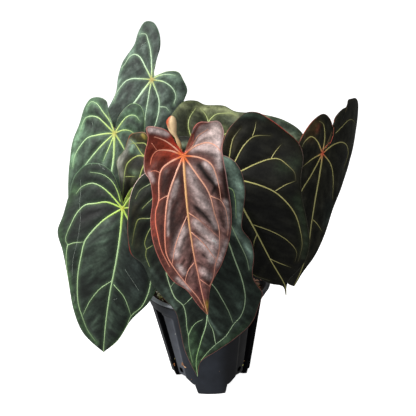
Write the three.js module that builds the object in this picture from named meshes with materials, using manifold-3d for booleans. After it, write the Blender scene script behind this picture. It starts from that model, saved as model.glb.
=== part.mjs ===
// A potted anthurium hybrid: velvety heart-shaped blades on long stalks, in a soft nursery pot.
// Millimetres, +Z up. The plant is laid out around the pot's axis, with the viewer at -Y,
// and the whole group is moved at the end so that its origin lies under the middle of its box.

import * as THREE from 'three';
import { mergeVertices } from 'three/addons/utils/BufferGeometryUtils.js';
import Module from 'manifold-3d';

const wasm = await Module();
wasm.setup();

const SEAT_GAP = 0.3; // between two pieces that touch
const MERGE = 1e-4;

// Pot: a 13 cm soft nursery pot with a flared collar, a rolled lip and three feet
const POT = {
  height: 110,
  lipRadius: 65.5,
  lipHeight: 3,
  lipWidth: 3,
  collarTopRadius: 64.2,
  collarBase: 97,
  collarBaseRadius: 60.6,
  bodyTop: 95,
  bodyTopRadius: 59.7,
  bottomRadius: 40.4,
  wall: 1.8,
  footWall: 3,
  floorTop: 22,
  floorUnder: 19.6,
  frontArch: 18.5, // height of the wall's lower edge beside the front foot
  backArch: 12, // and everywhere else
  panelFlat: 0.025, // how far the middle of a panel is flattened, as a share of the radius
  fluteDepth: 1.3,
  grooveDepth: 5,
  fluteFade: 90, // the flutes run out between here and their top
  fluteTop: 94,
  bevel: 0.8, // of the lip's outer edge
  rimTilt: 0.05, // the soft rim stands a little higher on the right
  rimOval: 0.024, // and is that much wider from left to right
  lean: -0.038, // the soft body leans to the left as it rises
  footShift: -1.3,
  rimReturn: 1.9, // how far the rim leans less than the body
  leanFrom: [19, 32], // the radii between which the lean sets in, outside the crown
};
const SECTORS = 3;
const SECTOR = 360 / SECTORS;
// Columns of one sector, in degrees from the middle of its flute; the feet stand between flutes
const FLUTE = { half: 24, floor: 20, grooveMouth: 5.5, groove: 3.2 };
const FOOT = { edge: 38.5, shoulder: 36, shoulderHeight: 11 };
const HALF_COLUMNS = [
  FLUTE.groove, FLUTE.grooveMouth, FLUTE.floor, FLUTE.half, 30, FOOT.shoulder, FOOT.edge, 49,
];
const COLUMN_OFFSETS = [-60, ...HALF_COLUMNS.map((offset) => -offset).reverse(), ...HALF_COLUMNS];
const DRAIN = { radius: 3, height: 25, offsets: [-15, 0, 15], drill: 16, sides: 8 };
const WALL_ROWS = [50, POT.fluteFade, POT.fluteTop]; // heights that the wall and the soil share

// Soil of bark and pumice, and the crown that the stalks rise from
const SOIL = {
  level: 101,
  lump: 1.1,
  edge: 1,
  rings: [0.78, 0.54], // of the bed's top, as shares of its radius
  chips: 26,
  chipSize: [3, 5.4],
  chipShape: [1, 0.75, 0.55],
  chipField: [24.5, 51],
  chipTurn: 2.4,
  chipSink: 0.4,
  seed: 7,
};
const CROWN = {
  radius: 17.5,
  base: 94,
  shoulder: [16.5, 105],
  brow: [11.5, 113],
  top: 117,
  sides: 22,
  ease: 0.2,
};

// Blades and stalks
const BLADE = {
  half: 0.45,
  ribHalf: 0.95,
  quilt: 1.3, // how far the blade swells between its ribs
  quiltFrom: 0.12,
  sinus: 4, // depth of the notch's floor above the stalk
  fanEnd: 0.33, // the share of the rows that fan out from the stalk
  inward: 1.15,
  spineSteps: 60,
  lobeReach: 40,
  archReach: 50,
};
// From the midrib to the margin; the fourth column is the long side vein
const RIB_COLUMNS = [0, 0.32, 0.58, 0.8, 1];
const STALK = {
  base: 2.8,
  slim: 2,
  swell: 2.5,
  sides: 8,
  steps: 15,
  rootHeight: 100,
  inCrown: 5, // path points from the root to above the crown
  neck: [14, 4.7], // where it bends into the blade, behind the blade
  neckRise: 3,
  ease: 0.2,
};

const COLOUR = {
  darkGreen: 0x1f3a2b,
  blueGreen: 0x24372c,
  blackGreen: 0x171d17,
  olive: 0x3d4a26,
  bronze: 0x6b3a32,
  cream: 0xd9bf8a,
  stalk: 0x5f7a3c,
  stalkRed: 0x8c4a3a,
  crown: 0x6d5a3c,
  soil: 0x4a3526,
  pot: 0x23252b,
};

// Each blade lies in its own frame: x to its right, y up toward its lobes, z out of its face.
// The stalk joins it at 0,0, the midrib runs down spine to the tip, and left and right are the
// margins from the notch between the lobes down to the tip.
// belly: the midrib's bulge forward; droop: the tip's fall backward; lobe: the lobes' fall backward;
// arch: each half's fall toward its margin; lift: the margin's waves, spaced evenly from notch to tip.
const LEAVES = [
  {
    name: 'top_left', colour: COLOUR.darkGreen, rows: 20,
    at: [-57, 42, 324], yaw: -15, pitch: 10, roll: -37,
    belly: 8, droop: 14, lobe: 4, arch: 9,
    liftLeft: [0, 2, -2, 2, 0], liftRight: [0, -2, 3, -2, 0],
    spine: [[0, 0], [1, -30], [1, -61], [1, -91], [0, -117]],
    left: [[-7, 12], [-14, 31], [-25, 42], [-38, 46], [-46, 41], [-45, 29], [-40, 16], [-39, -5],
      [-32, -20], [-22, -35], [-18, -54], [-14, -76], [-8, -101]],
    right: [[1, 6], [8, 17], [17, 23], [25, 20], [35, 14], [39, 3], [45, -10], [50, -25], [49, -44],
      [38, -72], [17, -101]],
    root: [-5, 8], via: [[-12, 24, 160], [-34, 50, 250], [-51, 60, 304]],
  },
  {
    name: 'middle_left', colour: COLOUR.darkGreen, rows: 20,
    at: [-94, 0, 276], yaw: -12, pitch: 8, roll: -16,
    belly: 8, droop: 14, lobe: 4, arch: 12,
    liftLeft: [0, 3, -2, 2, -2, 0], liftRight: [0, 3, -2, 3, 0],
    spine: [[0, 0], [7, -25], [10, -63], [5, -97], [0, -123]],
    left: [[-6, 7], [-13, 18], [-17, 28], [-24, 30], [-35, 26], [-40, 16], [-42, -4], [-44, -23],
      [-40, -43], [-35, -71], [-29, -94], [-15, -114]],
    right: [[-1, 12], [1, 22], [9, 34], [18, 34], [25, 24], [29, 9], [34, -9], [35, -38], [29, -72],
      [14, -106]],
    root: [-10.5, 3.5], via: [[-30, 8, 150], [-66, 16, 220], [-86, 19, 258]],
  },
  {
    name: 'low_left', colour: COLOUR.darkGreen, rows: 24,
    at: [-84, -55, 213], yaw: -5, pitch: 5, roll: -10,
    belly: 9, droop: 16, lobe: 5, arch: 12,
    liftLeft: [0, 3, -3, 3, -2, 2, 0], liftRight: [0, 3, -2, 2, -2, 0],
    spine: [[0, 0], [2, -26], [2, -53], [0, -88], [-1, -127], [-1, -157]],
    left: [[-6, 17], [-15, 32], [-28, 38], [-43, 34], [-55, 18], [-58, -1], [-60, -21], [-63, -38],
      [-55, -55], [-45, -85], [-35, -115], [-23, -138], [-9, -151]],
    right: [[2, 12], [6, 21], [14, 26], [23, 22], [29, 8], [34, -12], [38, -36], [43, -56],
      [44, -73], [39, -90], [23, -114], [12, -140]],
    root: [-10.5, -4], via: [[-32, -18, 135], [-58, -38, 168], [-77, -45, 194]],
  },
  {
    name: 'front', colour: COLOUR.blueGreen, rows: 28,
    at: [-21, -78, 239], yaw: 0, pitch: 2, roll: 2,
    belly: 10, droop: 6, lobe: 2, arch: 8,
    liftLeft: [0, -2, 2, -5, 2, -2, 0], liftRight: [0, -3, -8, 2, -4, 2, 0],
    spine: [[0, 0], [2, -29], [6, -59], [10, -89], [13, -119], [11, -136], [5, -154], [-1, -176],
      [-1, -196]],
    left: [[-4, 12], [-12, 18], [-24, 19], [-36, 15], [-46, 7], [-53, -6], [-57, -26], [-59, -49],
      [-57, -66], [-47, -75], [-39, -93], [-28, -107], [-18, -121], [-15, -138], [-12, -163],
      [-6, -183]],
    right: [[7, 14], [15, 24], [25, 28], [35, 27], [45, 21], [52, 9], [55, -9], [52, -30], [50, -44],
      [58, -57], [60, -69], [58, -91], [63, -103], [67, -111], [63, -124], [55, -141], [40, -153],
      [18, -167], [3, -178]],
    root: [1.5, -11], via: [[-4, -28, 140], [-14, -50, 190], [-20, -60, 224]],
  },
  {
    name: 'inner_left', colour: COLOUR.olive, rows: 16,
    at: [-59, -36, 258], yaw: -22, pitch: 5, roll: -14,
    belly: 6, droop: 10, lobe: 3, arch: 14,
    liftLeft: [0, 2, -2, 2, 0], liftRight: [0, 2, -2, 2, 0],
    spine: [[0, 0], [5, -21], [6, -47], [0, -81]],
    left: [[-2, 12], [-4, 19], [-9, 23], [-16, 21], [-24, 16], [-28, 0], [-35, -16], [-29, -25],
      [-20, -40], [-15, -57], [-9, -71]],
    right: [[1, 12], [6, 19], [14, 22], [21, 17], [26, 3], [28, -18], [27, -40], [15, -64]],
    root: [-5.5, -9.5], via: [[-20, -16, 150], [-40, -20, 205], [-51, -19, 243]],
  },
  {
    name: 'bronze', colour: COLOUR.bronze, rows: 28,
    at: [-22, -108, 276], yaw: 5, pitch: 8, roll: 7,
    belly: 8, droop: 6, lobe: -4, arch: 14,
    liftLeft: [0, 10, 6, -4, 2, -2, 0], liftRight: [0, 8, 12, -3, -6, -2, 0],
    spine: [[0, 0], [-2, -18], [-4, -42], [-5, -64], [-5, -89], [-4, -108], [-3, -128], [-1, -149]],
    left: [[-5, 12], [-10, 23], [-17, 28], [-28, 30], [-28, 21], [-34, 5], [-36, -9], [-33, -16],
      [-33, -34], [-38, -53], [-39, -71], [-35, -92], [-27, -111], [-16, -122], [-8, -138]],
    right: [[7, 7], [11, 14], [12, 22], [18, 27], [26, 26], [35, 25], [38, 17], [34, 0], [35, -28],
      [35, -58], [31, -78], [20, -101], [8, -117], [3, -128], [1, -139]],
    root: [8, -8.5], via: [[6, -26, 140], [6, -46, 200], [-4, -62, 242], [-17, -76, 263]],
  },
  {
    name: 'back_right', colour: COLOUR.olive, rows: 20,
    at: [-9, 4, 256], yaw: 5, pitch: 10, roll: 70,
    belly: 6, droop: 12, lobe: 4, arch: 8,
    liftLeft: [0, 2, -2, 2, 0], liftRight: [0, 2, -2, 3, -2, 0],
    spine: [[0, 0], [5, -26], [8, -58], [7, -92], [0, -126]],
    left: [[-12, 4], [-23, -1], [-30, -14], [-30, -35], [-26, -62], [-20, -87], [-12, -110]],
    right: [[4, 11], [7, 20], [6, 27], [11, 34], [21, 38], [30, 36], [42, 30], [47, 18], [46, 8],
      [51, -11], [49, -23], [52, -38], [55, -54], [56, -76], [50, -98], [31, -115]],
    root: [3.5, 9], via: [[4, 18, 150], [0, 24, 205], [-9, 23, 238]],
  },
  {
    name: 'right', colour: COLOUR.blackGreen, rows: 26,
    at: [18, -30, 236], yaw: -8, pitch: 5, roll: 26,
    belly: 8, droop: 12, lobe: 4, arch: 6,
    liftLeft: [0, 2, -2, 2, 0], liftRight: [0, 2, -3, 2, -3, 2, 0],
    spine: [[0, 0], [1, -19], [2, -38], [3, -61], [3, -94], [3, -128], [-1, -138]],
    left: [[-2, 16], [-5, 32], [-12, 44], [-23, 52], [-35, 49], [-41, 30], [-37, 1], [-32, -28],
      [-29, -57], [-26, -84], [-20, -101], [-9, -118], [1, -127]],
    right: [[4, 17], [12, 32], [22, 41], [34, 46], [44, 48], [54, 43], [61, 33], [70, 16], [77, -1],
      [76, -15], [65, -33], [58, -51], [52, -75], [45, -96], [33, -111], [22, -117], [9, -123],
      [3, -130]],
    root: [11, -2.5], via: [[14, -10, 150], [17, -10, 200], [20, -12, 221]],
  },
  {
    name: 'far_right', colour: COLOUR.blackGreen, rows: 26,
    at: [118, 8, 249], yaw: 35, pitch: 5, roll: -15,
    belly: 7, droop: 12, lobe: 4, arch: 10,
    liftLeft: [0, 2, -2, 2, 0], liftRight: [0, 3, -3, 2, 0],
    spine: [[0, 0], [-3, -24], [-5, -48], [-4, -74], [-1, -93], [1, -115], [0, -142]],
    left: [[8, 14], [11, 24], [5, 36], [-4, 40], [-17, 32], [-26, 19], [-31, 5], [-35, -16],
      [-37, -47], [-36, -77], [-29, -103], [-20, -126], [-10, -139]],
    right: [[8, 11], [10, 22], [12, 37], [23, 48], [34, 54], [36, 60], [45, 63], [57, 65], [63, 62],
      [64, 54], [62, 32], [58, 4], [39, -29], [23, -57], [18, -81], [12, -107], [4, -125]],
    root: [10, 4.5], via: [[38, 0, 150], [72, -2, 195], [101, 9, 231]],
  },
];

// The newest leaf, still rolled up: its centre line, with half its width and half its depth there
const NEW_LEAF = {
  colour: COLOUR.cream,
  sections: [
    [-26.2, -60, 272, 1.2, 1.1], [-26.9, -60, 276, 2.1, 1.5], [-28.1, -60, 279.4, 2, 1.5],
    [-29.8, -60, 283.1, 1.7, 1.5], [-32.1, -60, 287.1, 2.9, 2], [-32.9, -60, 290.4, 3.9, 2.4],
    [-33.4, -60, 294.2, 4.6, 2.8], [-33.8, -60, 297.7, 4.8, 2.7], [-33.4, -60, 301.4, 3.4, 2],
    [-33.1, -60, 303.4, 1.2, 0.9],
  ],
  sides: 10,
  root: [0, -1],
  via: [[-2, -14, 160], [-12, -38, 222], [-23, -57, 262]],
  scale: 0.68, // its stalk's thickness beside the others'
};

const radians = THREE.MathUtils.degToRad;
const { clamp, lerp, smoothstep } = THREE.MathUtils;

function geometryFrom(points, triangles) {
  const geometry = new THREE.BufferGeometry();
  geometry.setAttribute('position', new THREE.Float32BufferAttribute(points.flat(), 3));
  geometry.setIndex(triangles.flat());
  return geometry;
}

function merged(geometry) {
  const bare = geometry.clone();
  bare.deleteAttribute('normal');
  bare.deleteAttribute('uv');
  return mergeVertices(bare, MERGE);
}

function solidFrom(geometry) {
  const closed = merged(geometry);
  return new wasm.Manifold(new wasm.Mesh({
    numProp: 3,
    vertProperties: new Float32Array(closed.attributes.position.array),
    triVerts: new Uint32Array(closed.index.array),
  }));
}

function geometryOf(solid) {
  const mesh = solid.getMesh();
  const geometry = new THREE.BufferGeometry();
  geometry.setAttribute('position', new THREE.BufferAttribute(mesh.vertProperties, 3));
  geometry.setIndex(new THREE.BufferAttribute(mesh.triVerts, 1));
  return geometry;
}

function named(name, geometry, colour, roughness = 0.6) {
  const material = new THREE.MeshStandardMaterial({ color: colour, roughness, metalness: 0 });
  const mesh = new THREE.Mesh(geometry, material);
  mesh.name = name;
  return mesh;
}

function seededRandom(seed) {
  let state = seed;
  return () => {
    state = (state * 16807) % 2147483647;
    return state / 2147483647;
  };
}

// A flat curve through points, cut into evenly spaced ones
function flatCurve(points, count) {
  const curve = new THREE.CatmullRomCurve3(points.map(([x, y]) => new THREE.Vector3(x, y, 0)));
  return curve.getSpacedPoints(count).map((p) => [p.x, p.y]);
}

// A smooth value through numbers that are set evenly along 0..1
function valueAlong(values, t) {
  const last = values.length - 1;
  const at = clamp(t, 0, 1) * last;
  const i = Math.min(Math.floor(at), last - 1);
  const f = at - i;
  const [a, b, c, d] = [i - 1, i, i + 1, i + 2].map((k) => values[clamp(k, 0, last)]);
  const bend = 2 * a - 5 * b + 4 * c - d;
  const twist = 3 * b - a - 3 * c + d;
  return 0.5 * (2 * b + (c - a) * f + bend * f * f + twist * f * f * f);
}

// Pot and soil share these: the column angles, the wall's radius and its rise toward the right
function columns() {
  const angles = [];
  for (let sector = 0; sector < SECTORS; sector += 1) {
    for (const offset of COLUMN_OFFSETS) {
      angles.push({ angle: radians(SECTOR / 2 + sector * SECTOR + offset), offset });
    }
  }
  return angles;
}

function wallRadius(z) {
  if (z <= POT.bodyTop) return lerp(POT.bottomRadius, POT.bodyTopRadius, z / POT.bodyTop);
  if (z <= POT.collarBase) {
    return lerp(POT.bodyTopRadius, POT.collarBaseRadius, (z - POT.bodyTop) / (POT.collarBase - POT.bodyTop));
  }
  const share = (z - POT.collarBase) / (POT.height - POT.lipHeight - POT.collarBase);
  return lerp(POT.collarBaseRadius, POT.collarTopRadius, Math.min(share, 1));
}

function recess(offset, z) {
  const off = Math.abs(offset);
  const fade = 1 - smoothstep(z, POT.fluteFade, POT.fluteTop);
  if (off >= FLUTE.half) return 0;
  if (off >= FLUTE.floor) return POT.fluteDepth * fade * (FLUTE.half - off) / (FLUTE.half - FLUTE.floor);
  if (off >= FLUTE.grooveMouth) return POT.fluteDepth * fade;
  return (off <= FLUTE.groove ? POT.grooveDepth : POT.fluteDepth) * fade;
}

// The soil stays clear of the groove's slanted sides, and of its faded top
function soilRecess(offset, z) {
  if (z >= POT.collarBase) return 0;
  return recess(Math.abs(offset) <= FLUTE.grooveMouth ? 0 : offset, POT.fluteFade);
}

function outerRadius(offset, z) {
  const flat = POT.panelFlat * (1 - smoothstep(z, POT.bodyTop, POT.collarBase));
  const nearest = Math.abs(offset) > SECTOR / 4 ? SECTOR / 2 - Math.abs(offset) : Math.abs(offset);
  const share = Math.cos(radians(nearest * 3));
  return wallRadius(z) * (1 - flat * share * share) - recess(offset, z);
}

// The wall's lower edge: steep at a foot's sides, then rising to the arch between the feet
function archedEdge(offset, angle) {
  const off = Math.abs(offset);
  if (off >= FOOT.edge) return 0;
  if (off >= FOOT.shoulder) return FOOT.shoulderHeight * (FOOT.edge - off) / (FOOT.edge - FOOT.shoulder);
  const arch = Math.cos(angle) > 0.5 ? POT.frontArch : POT.backArch;
  return lerp(arch, FOOT.shoulderHeight, smoothstep(off, FLUTE.floor, FOOT.shoulder));
}

// 0 up to the top of the body and 1 at the lip
function rimShare(z) {
  return smoothstep(z, POT.bodyTop, POT.height - POT.lipHeight);
}

// How far the soft pot is pushed aside
function leanAt(radius, z) {
  const shift = POT.footShift + POT.lean * z + POT.rimReturn * rimShare(z);
  return shift * smoothstep(radius, ...POT.leanFrom);
}

function potPoint(angle, radius, z) {
  const x = radius * Math.sin(angle) * (1 + POT.rimOval * rimShare(z));
  const raise = POT.rimTilt * (z / POT.height) ** 2 * smoothstep(radius, 30, 55);
  return [x + leanAt(radius, z), -radius * Math.cos(angle), z + raise * x];
}

// Turns a profile round the axis. It starts and ends on the axis and may differ from column to column.
function turned(profileAt) {
  const around = columns();
  const points = [];
  const triangles = [];
  const rows = profileAt(0, 0).length;
  for (const { angle, offset } of around) {
    for (const [radius, z] of profileAt(offset, angle)) points.push(potPoint(angle, radius, z));
  }
  for (let c = 0; c < around.length; c += 1) {
    const next = (c + 1) % around.length;
    for (let r = 0; r < rows - 1; r += 1) {
      const [a, b, d, e] = [c * rows + r, next * rows + r, next * rows + r + 1, c * rows + r + 1];
      if (r > 0) triangles.push([a, b, d]);
      if (r < rows - 2) triangles.push([a, d, e]);
    }
  }
  // The first and last points of every column are one point on the axis
  const fixed = triangles.map((triangle) => triangle.map((i) => {
    if (i % rows === 0) return 0;
    return i % rows === rows - 1 ? rows - 1 : i;
  }));
  return geometryFrom(points, fixed);
}

function makePot() {
  const lipUnder = POT.height - POT.lipHeight;
  const lipBore = POT.lipRadius - POT.lipWidth;
  const outside = [...WALL_ROWS, POT.bodyTop, POT.collarBase, lipUnder];
  const inside = [lipUnder - POT.lipWidth, POT.collarBase, ...WALL_ROWS.toReversed(), POT.floorTop];
  const shell = solidFrom(turned((offset, angle) => {
    const edge = archedEdge(offset, angle);
    const skirt = outerRadius(offset, POT.floorUnder) - POT.footWall;
    return [
      [0, POT.floorUnder],
      [skirt, POT.floorUnder],
      [outerRadius(offset, edge) - POT.footWall, edge],
      [outerRadius(offset, edge), edge],
      ...outside.map((z) => [outerRadius(offset, z), z]),
      [POT.lipRadius, lipUnder],
      [POT.lipRadius, POT.height - POT.bevel],
      [POT.lipRadius - POT.bevel, POT.height],
      [lipBore, POT.height],
      ...inside.map((z) => [outerRadius(offset, z) - POT.wall, z]),
      [0, POT.floorTop],
    ];
  }));
  return named('pot', geometryOf(withDrains(shell)), COLOUR.pot, 0.45);
}

function withDrains(shell) {
  let cut = shell;
  for (let sector = 0; sector < SECTORS; sector += 1) {
    for (const offset of DRAIN.offsets) {
      const angle = radians(SECTOR / 2 + sector * SECTOR + offset);
      const radius = outerRadius(offset, DRAIN.height);
      const drill = new THREE.CylinderGeometry(DRAIN.radius, DRAIN.radius, DRAIN.drill, DRAIN.sides);
      drill.rotateZ(Math.PI / 2);
      drill.translate(radius, 0, DRAIN.height);
      drill.rotateZ(angle - Math.PI / 2);
      drill.translate(leanAt(radius, DRAIN.height), 0, 0);
      cut = cut.subtract(solidFrom(drill));
    }
  }
  return cut;
}

function soilTop(x, y) {
  return SOIL.level + SOIL.lump * (Math.sin(x / 7 + 1) * Math.cos(y / 6) + 0.5 * Math.sin((x + y) / 4));
}

function makeSoil() {
  const pocket = CROWN.radius + SEAT_GAP + CROWN.ease;
  const side = [POT.floorTop + SEAT_GAP, ...WALL_ROWS, POT.bodyTop];
  const inner = (offset, z) => {
    const fluted = recess(offset, z) - soilRecess(offset, z);
    return outerRadius(offset, z) + fluted - POT.wall - SEAT_GAP;
  };
  const bed = turned((offset) => [
    [0, POT.floorTop + SEAT_GAP],
    ...side.map((z) => [inner(offset, z), z]),
    [inner(offset, SOIL.level) - SOIL.edge, SOIL.level],
    ...SOIL.rings.map((share) => [inner(offset, SOIL.level) * share, SOIL.level]),
    [pocket, SOIL.level],
    [pocket, CROWN.base - SEAT_GAP],
    [0, CROWN.base - SEAT_GAP],
  ]);
  const position = bed.attributes.position;
  for (let i = 0; i < position.count; i += 1) {
    const [x, y, z] = [position.getX(i), position.getY(i), position.getZ(i)];
    if (z > (CROWN.base + SOIL.level) / 2) position.setZ(i, z - SOIL.level + soilTop(x, y));
  }
  return named('soil', geometryOf(withChips(solidFrom(bed))), COLOUR.soil, 0.95);
}

// Bark and pumice chips, half sunk in the bed
function withChips(bed) {
  const random = seededRandom(SOIL.seed);
  let whole = bed;
  for (let i = 0; i < SOIL.chips; i += 1) {
    const angle = i * SOIL.chipTurn + random() * 0.6;
    const radius = lerp(...SOIL.chipField, Math.sqrt((i + 0.5) / SOIL.chips));
    const size = lerp(...SOIL.chipSize, random());
    const chip = new THREE.IcosahedronGeometry(size, 0);
    chip.scale(...SOIL.chipShape);
    chip.rotateX(random() - 0.5);
    chip.rotateZ(random() * Math.PI);
    const [x, y] = [radius * Math.sin(angle) + leanAt(radius, SOIL.level), -radius * Math.cos(angle)];
    chip.translate(x, y, soilTop(x, y) - SOIL.chipSink);
    whole = whole.add(solidFrom(chip));
  }
  return whole;
}

function crossed(a, b) {
  return new THREE.Vector3().crossVectors(a, b);
}

// A closed tube along points, whose half width and half depth may change from end to end
function tube(points, sizes, sides) {
  const rings = [];
  let across = null;
  for (let i = 0; i < points.length; i += 1) {
    const before = points[Math.max(i - 1, 0)];
    const after = points[Math.min(i + 1, points.length - 1)];
    const along = after.clone().sub(before).normalize();
    across = across ?? crossed(new THREE.Vector3(0, 1, 0), along);
    across = across.clone().addScaledVector(along, -across.dot(along)).normalize();
    const deep = crossed(along, across);
    const ring = [];
    for (let k = 0; k < sides; k += 1) {
      const turn = (k / sides) * 2 * Math.PI;
      const p = points[i].clone();
      p.addScaledVector(across, Math.cos(turn) * sizes[i][0]);
      p.addScaledVector(deep, Math.sin(turn) * sizes[i][1]);
      ring.push(p.toArray());
    }
    rings.push(ring);
  }
  const triangles = [];
  for (let i = 0; i < rings.length - 1; i += 1) {
    for (let k = 0; k < sides; k += 1) {
      const [a, b] = [i * sides + k, i * sides + ((k + 1) % sides)];
      triangles.push([a, b, b + sides], [a, b + sides, a + sides]);
    }
  }
  const end = (rings.length - 1) * sides;
  for (let k = 1; k < sides - 1; k += 1) {
    triangles.push([0, k + 1, k], [end, end + k, end + k + 1]);
  }
  return geometryFrom(rings.flat(), triangles);
}

function faceDirection({ yaw, pitch }) {
  const turn = radians(yaw);
  const tilt = radians(pitch);
  const level = Math.cos(tilt);
  return new THREE.Vector3(Math.sin(turn) * level, -Math.cos(turn) * level, Math.sin(tilt));
}

// A stalk is thick at its root, slim along its length and swollen where it bends into the blade
function stalkSize(share) {
  const foot = 1 - smoothstep(share, 0, 0.25);
  const neck = smoothstep(share, 0.86, 0.95);
  return STALK.slim + (STALK.base - STALK.slim) * foot + (STALK.swell - STALK.slim) * neck;
}

function stalkPath({ root, via }, end) {
  const start = [...root, STALK.rootHeight];
  const curve = new THREE.CatmullRomCurve3([start, ...via, ...end].map((p) => new THREE.Vector3(...p)));
  return curve.getSpacedPoints(STALK.steps);
}

function leafStalkEnd(leaf) {
  const face = faceDirection(leaf);
  const seat = BLADE.ribHalf + SEAT_GAP + STALK.ease;
  const top = new THREE.Vector3(...leaf.at).addScaledVector(face, -seat);
  const [bend, straight] = STALK.neck.map((behind) => top.clone().addScaledVector(face, -behind));
  bend.z -= STALK.neckRise;
  return [bend.toArray(), straight.toArray(), top.toArray()];
}

function stalkGeometry(path, scale, wider = 0) {
  const sizes = path.map((p, i) => {
    const size = stalkSize(i / STALK.steps) * scale + wider;
    return [size, size];
  });
  return tube(path, sizes, STALK.sides);
}

// The room that a stalk needs in the crown: the same tube, wider and starting a little deeper
function stalkRoom(path, scale) {
  const first = path[0].clone();
  first.z -= SEAT_GAP;
  return solidFrom(stalkGeometry([first, ...path.slice(1, STALK.inCrown)], scale, SEAT_GAP));
}

function makeCrown(stalks) {
  const { radius, base, shoulder, brow, top } = CROWN;
  const profile = [[0, base], [radius, base], [radius, SOIL.level], shoulder, brow, [0, top]];
  const lathe = new THREE.LatheGeometry(profile.map(([r, z]) => new THREE.Vector2(r, z)), CROWN.sides);
  lathe.rotateX(Math.PI / 2);
  let crown = solidFrom(lathe);
  for (const { path, scale } of stalks) crown = crown.subtract(stalkRoom(path, scale));
  return named('crown', geometryOf(crown), COLOUR.crown, 0.85);
}

// How far the blade stands out of its flat frame at x, y
function bladeHeight(leaf, x, y, t, out, side) {
  const length = -leaf.spine.at(-1)[1];
  const s = clamp(-y / length, 0, 1.05);
  const offMidrib = x - spineAt(leaf, -y);
  const lobe = Math.max(y, 0) / BLADE.lobeReach;
  const lift = valueAlong(side < 0 ? leaf.liftLeft : leaf.liftRight, t);
  return 4 * leaf.belly * s * (1 - s) - leaf.droop * s * s - leaf.lobe * lobe * lobe
    - leaf.arch * (offMidrib / BLADE.archReach) ** 2 + lift * out ** 2.5;
}

function spineAt({ spine }, down) {
  if (down <= 0) return 0;
  const i = spine.findIndex(([, y]) => -y >= down);
  if (i < 1) return spine.at(-1)[0];
  const [[x0, y0], [x1, y1]] = [spine[i - 1], spine[i]];
  return lerp(x0, x1, (-y0 - down) / (y1 - y0));
}

// The blade's middle sheet: rows fan out from the stalk and then step down the midrib to the tip.
// Every other row is a side rib, and the blade swells forward between ribs.
function bladeSheet(leaf) {
  const points = [];
  const halves = [];
  const triangles = [];
  const tip = leaf.spine.at(-1);
  const spine = flatCurve(leaf.spine, BLADE.spineSteps);
  for (const side of [-1, 1]) {
    const edge = [[0, BLADE.sinus], ...(side < 0 ? leaf.left : leaf.right), tip];
    const margin = flatCurve(edge, leaf.rows);
    const first = points.length;
    const across = RIB_COLUMNS.length;
    for (let i = 0; i <= leaf.rows; i += 1) {
      const t = i / leaf.rows;
      const down = Math.max(0, (t - BLADE.fanEnd) / (1 - BLADE.fanEnd)) ** BLADE.inward;
      const inner = spine[Math.round(down * BLADE.spineSteps)];
      for (let j = 0; j < across; j += 1) {
        const out = RIB_COLUMNS[j];
        const x = lerp(inner[0], margin[i][0], out);
        const y = lerp(inner[1], margin[i][1], out);
        const isRib = j === 0 || j === across - 2 || (i % 2 === 1 && j < across - 1);
        const flat = isRib || j === across - 1;
        const swell = flat ? 0 : BLADE.quilt * Math.min(1, t / BLADE.quiltFrom, (1 - t) / BLADE.quiltFrom);
        points.push([x, y, bladeHeight(leaf, x, y, t, out, side) + swell]);
        halves.push(isRib && i > 0 && i < leaf.rows ? BLADE.ribHalf : BLADE.half);
      }
    }
    for (let i = 0; i < leaf.rows; i += 1) {
      for (let j = 0; j < across - 1; j += 1) {
        const a = first + i * across + j;
        const [b, c, d] = [a + across, a + across + 1, a + 1];
        if (side > 0) triangles.push([a, b, c], [a, c, d]);
        else triangles.push([a, c, b], [a, d, c]);
      }
    }
  }
  return { points, halves, triangles };
}

// Thickens a sheet along its vertex normals, with both faces split into triangles alike
function thickened({ points, halves, triangles }) {
  const open = merged(geometryFrom(points, triangles));
  const index = [];
  for (let i = 0; i < open.index.count; i += 3) {
    const [a, b, c] = [0, 1, 2].map((k) => open.index.getX(i + k));
    if (a !== b && b !== c && c !== a) index.push([a, b, c]);
  }
  open.setIndex(index.flat());
  open.computeVertexNormals();
  const half = nearestHalves(points, halves, open.attributes.position);
  const count = half.length;
  const both = [];
  for (const sign of [1, -1]) {
    for (let i = 0; i < count; i += 1) {
      const p = new THREE.Vector3().fromBufferAttribute(open.attributes.position, i);
      const n = new THREE.Vector3().fromBufferAttribute(open.attributes.normal, i);
      both.push(p.addScaledVector(n, sign * half[i]).toArray());
    }
  }
  const edges = new Set(index.flatMap(([a, b, c]) => [`${a},${b}`, `${b},${c}`, `${c},${a}`]));
  const closed = [...index, ...index.map(([a, b, c]) => [a + count, c + count, b + count])];
  for (const edge of edges) {
    const [a, b] = edge.split(',').map(Number);
    if (!edges.has(`${b},${a}`)) closed.push([b, a, a + count], [b, a + count, b + count]);
  }
  return geometryFrom(both, closed);
}

// Half the thickness of each merged point, looked up by where it lies in the flat
function nearestHalves(points, halves, position) {
  const key = (x, y) => `${x.toFixed(2)},${y.toFixed(2)}`;
  const table = new Map(points.map(([x, y], i) => [key(x, y), halves[i]]));
  const found = [];
  for (let i = 0; i < position.count; i += 1) {
    found.push(table.get(key(position.getX(i), position.getY(i))) ?? BLADE.half);
  }
  return found;
}

function makeBlade(leaf) {
  const mesh = named(`leaf_${leaf.name}`, thickened(bladeSheet(leaf)), leaf.colour, 0.55);
  mesh.rotation.z = radians(leaf.roll);
  const tilted = new THREE.Group();
  tilted.rotation.x = Math.PI / 2 - radians(leaf.pitch);
  tilted.add(mesh);
  const placed = new THREE.Group();
  placed.position.set(...leaf.at);
  placed.rotation.z = radians(leaf.yaw);
  placed.add(tilted);
  return placed;
}

function makeNewLeaf() {
  const path = NEW_LEAF.sections.map(([x, y, z]) => new THREE.Vector3(x, y, z));
  const sizes = NEW_LEAF.sections.map(([, , , wide, deep]) => [wide, deep]);
  return named('leaf_new', tube(path, sizes, NEW_LEAF.sides), NEW_LEAF.colour, 0.5);
}

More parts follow.
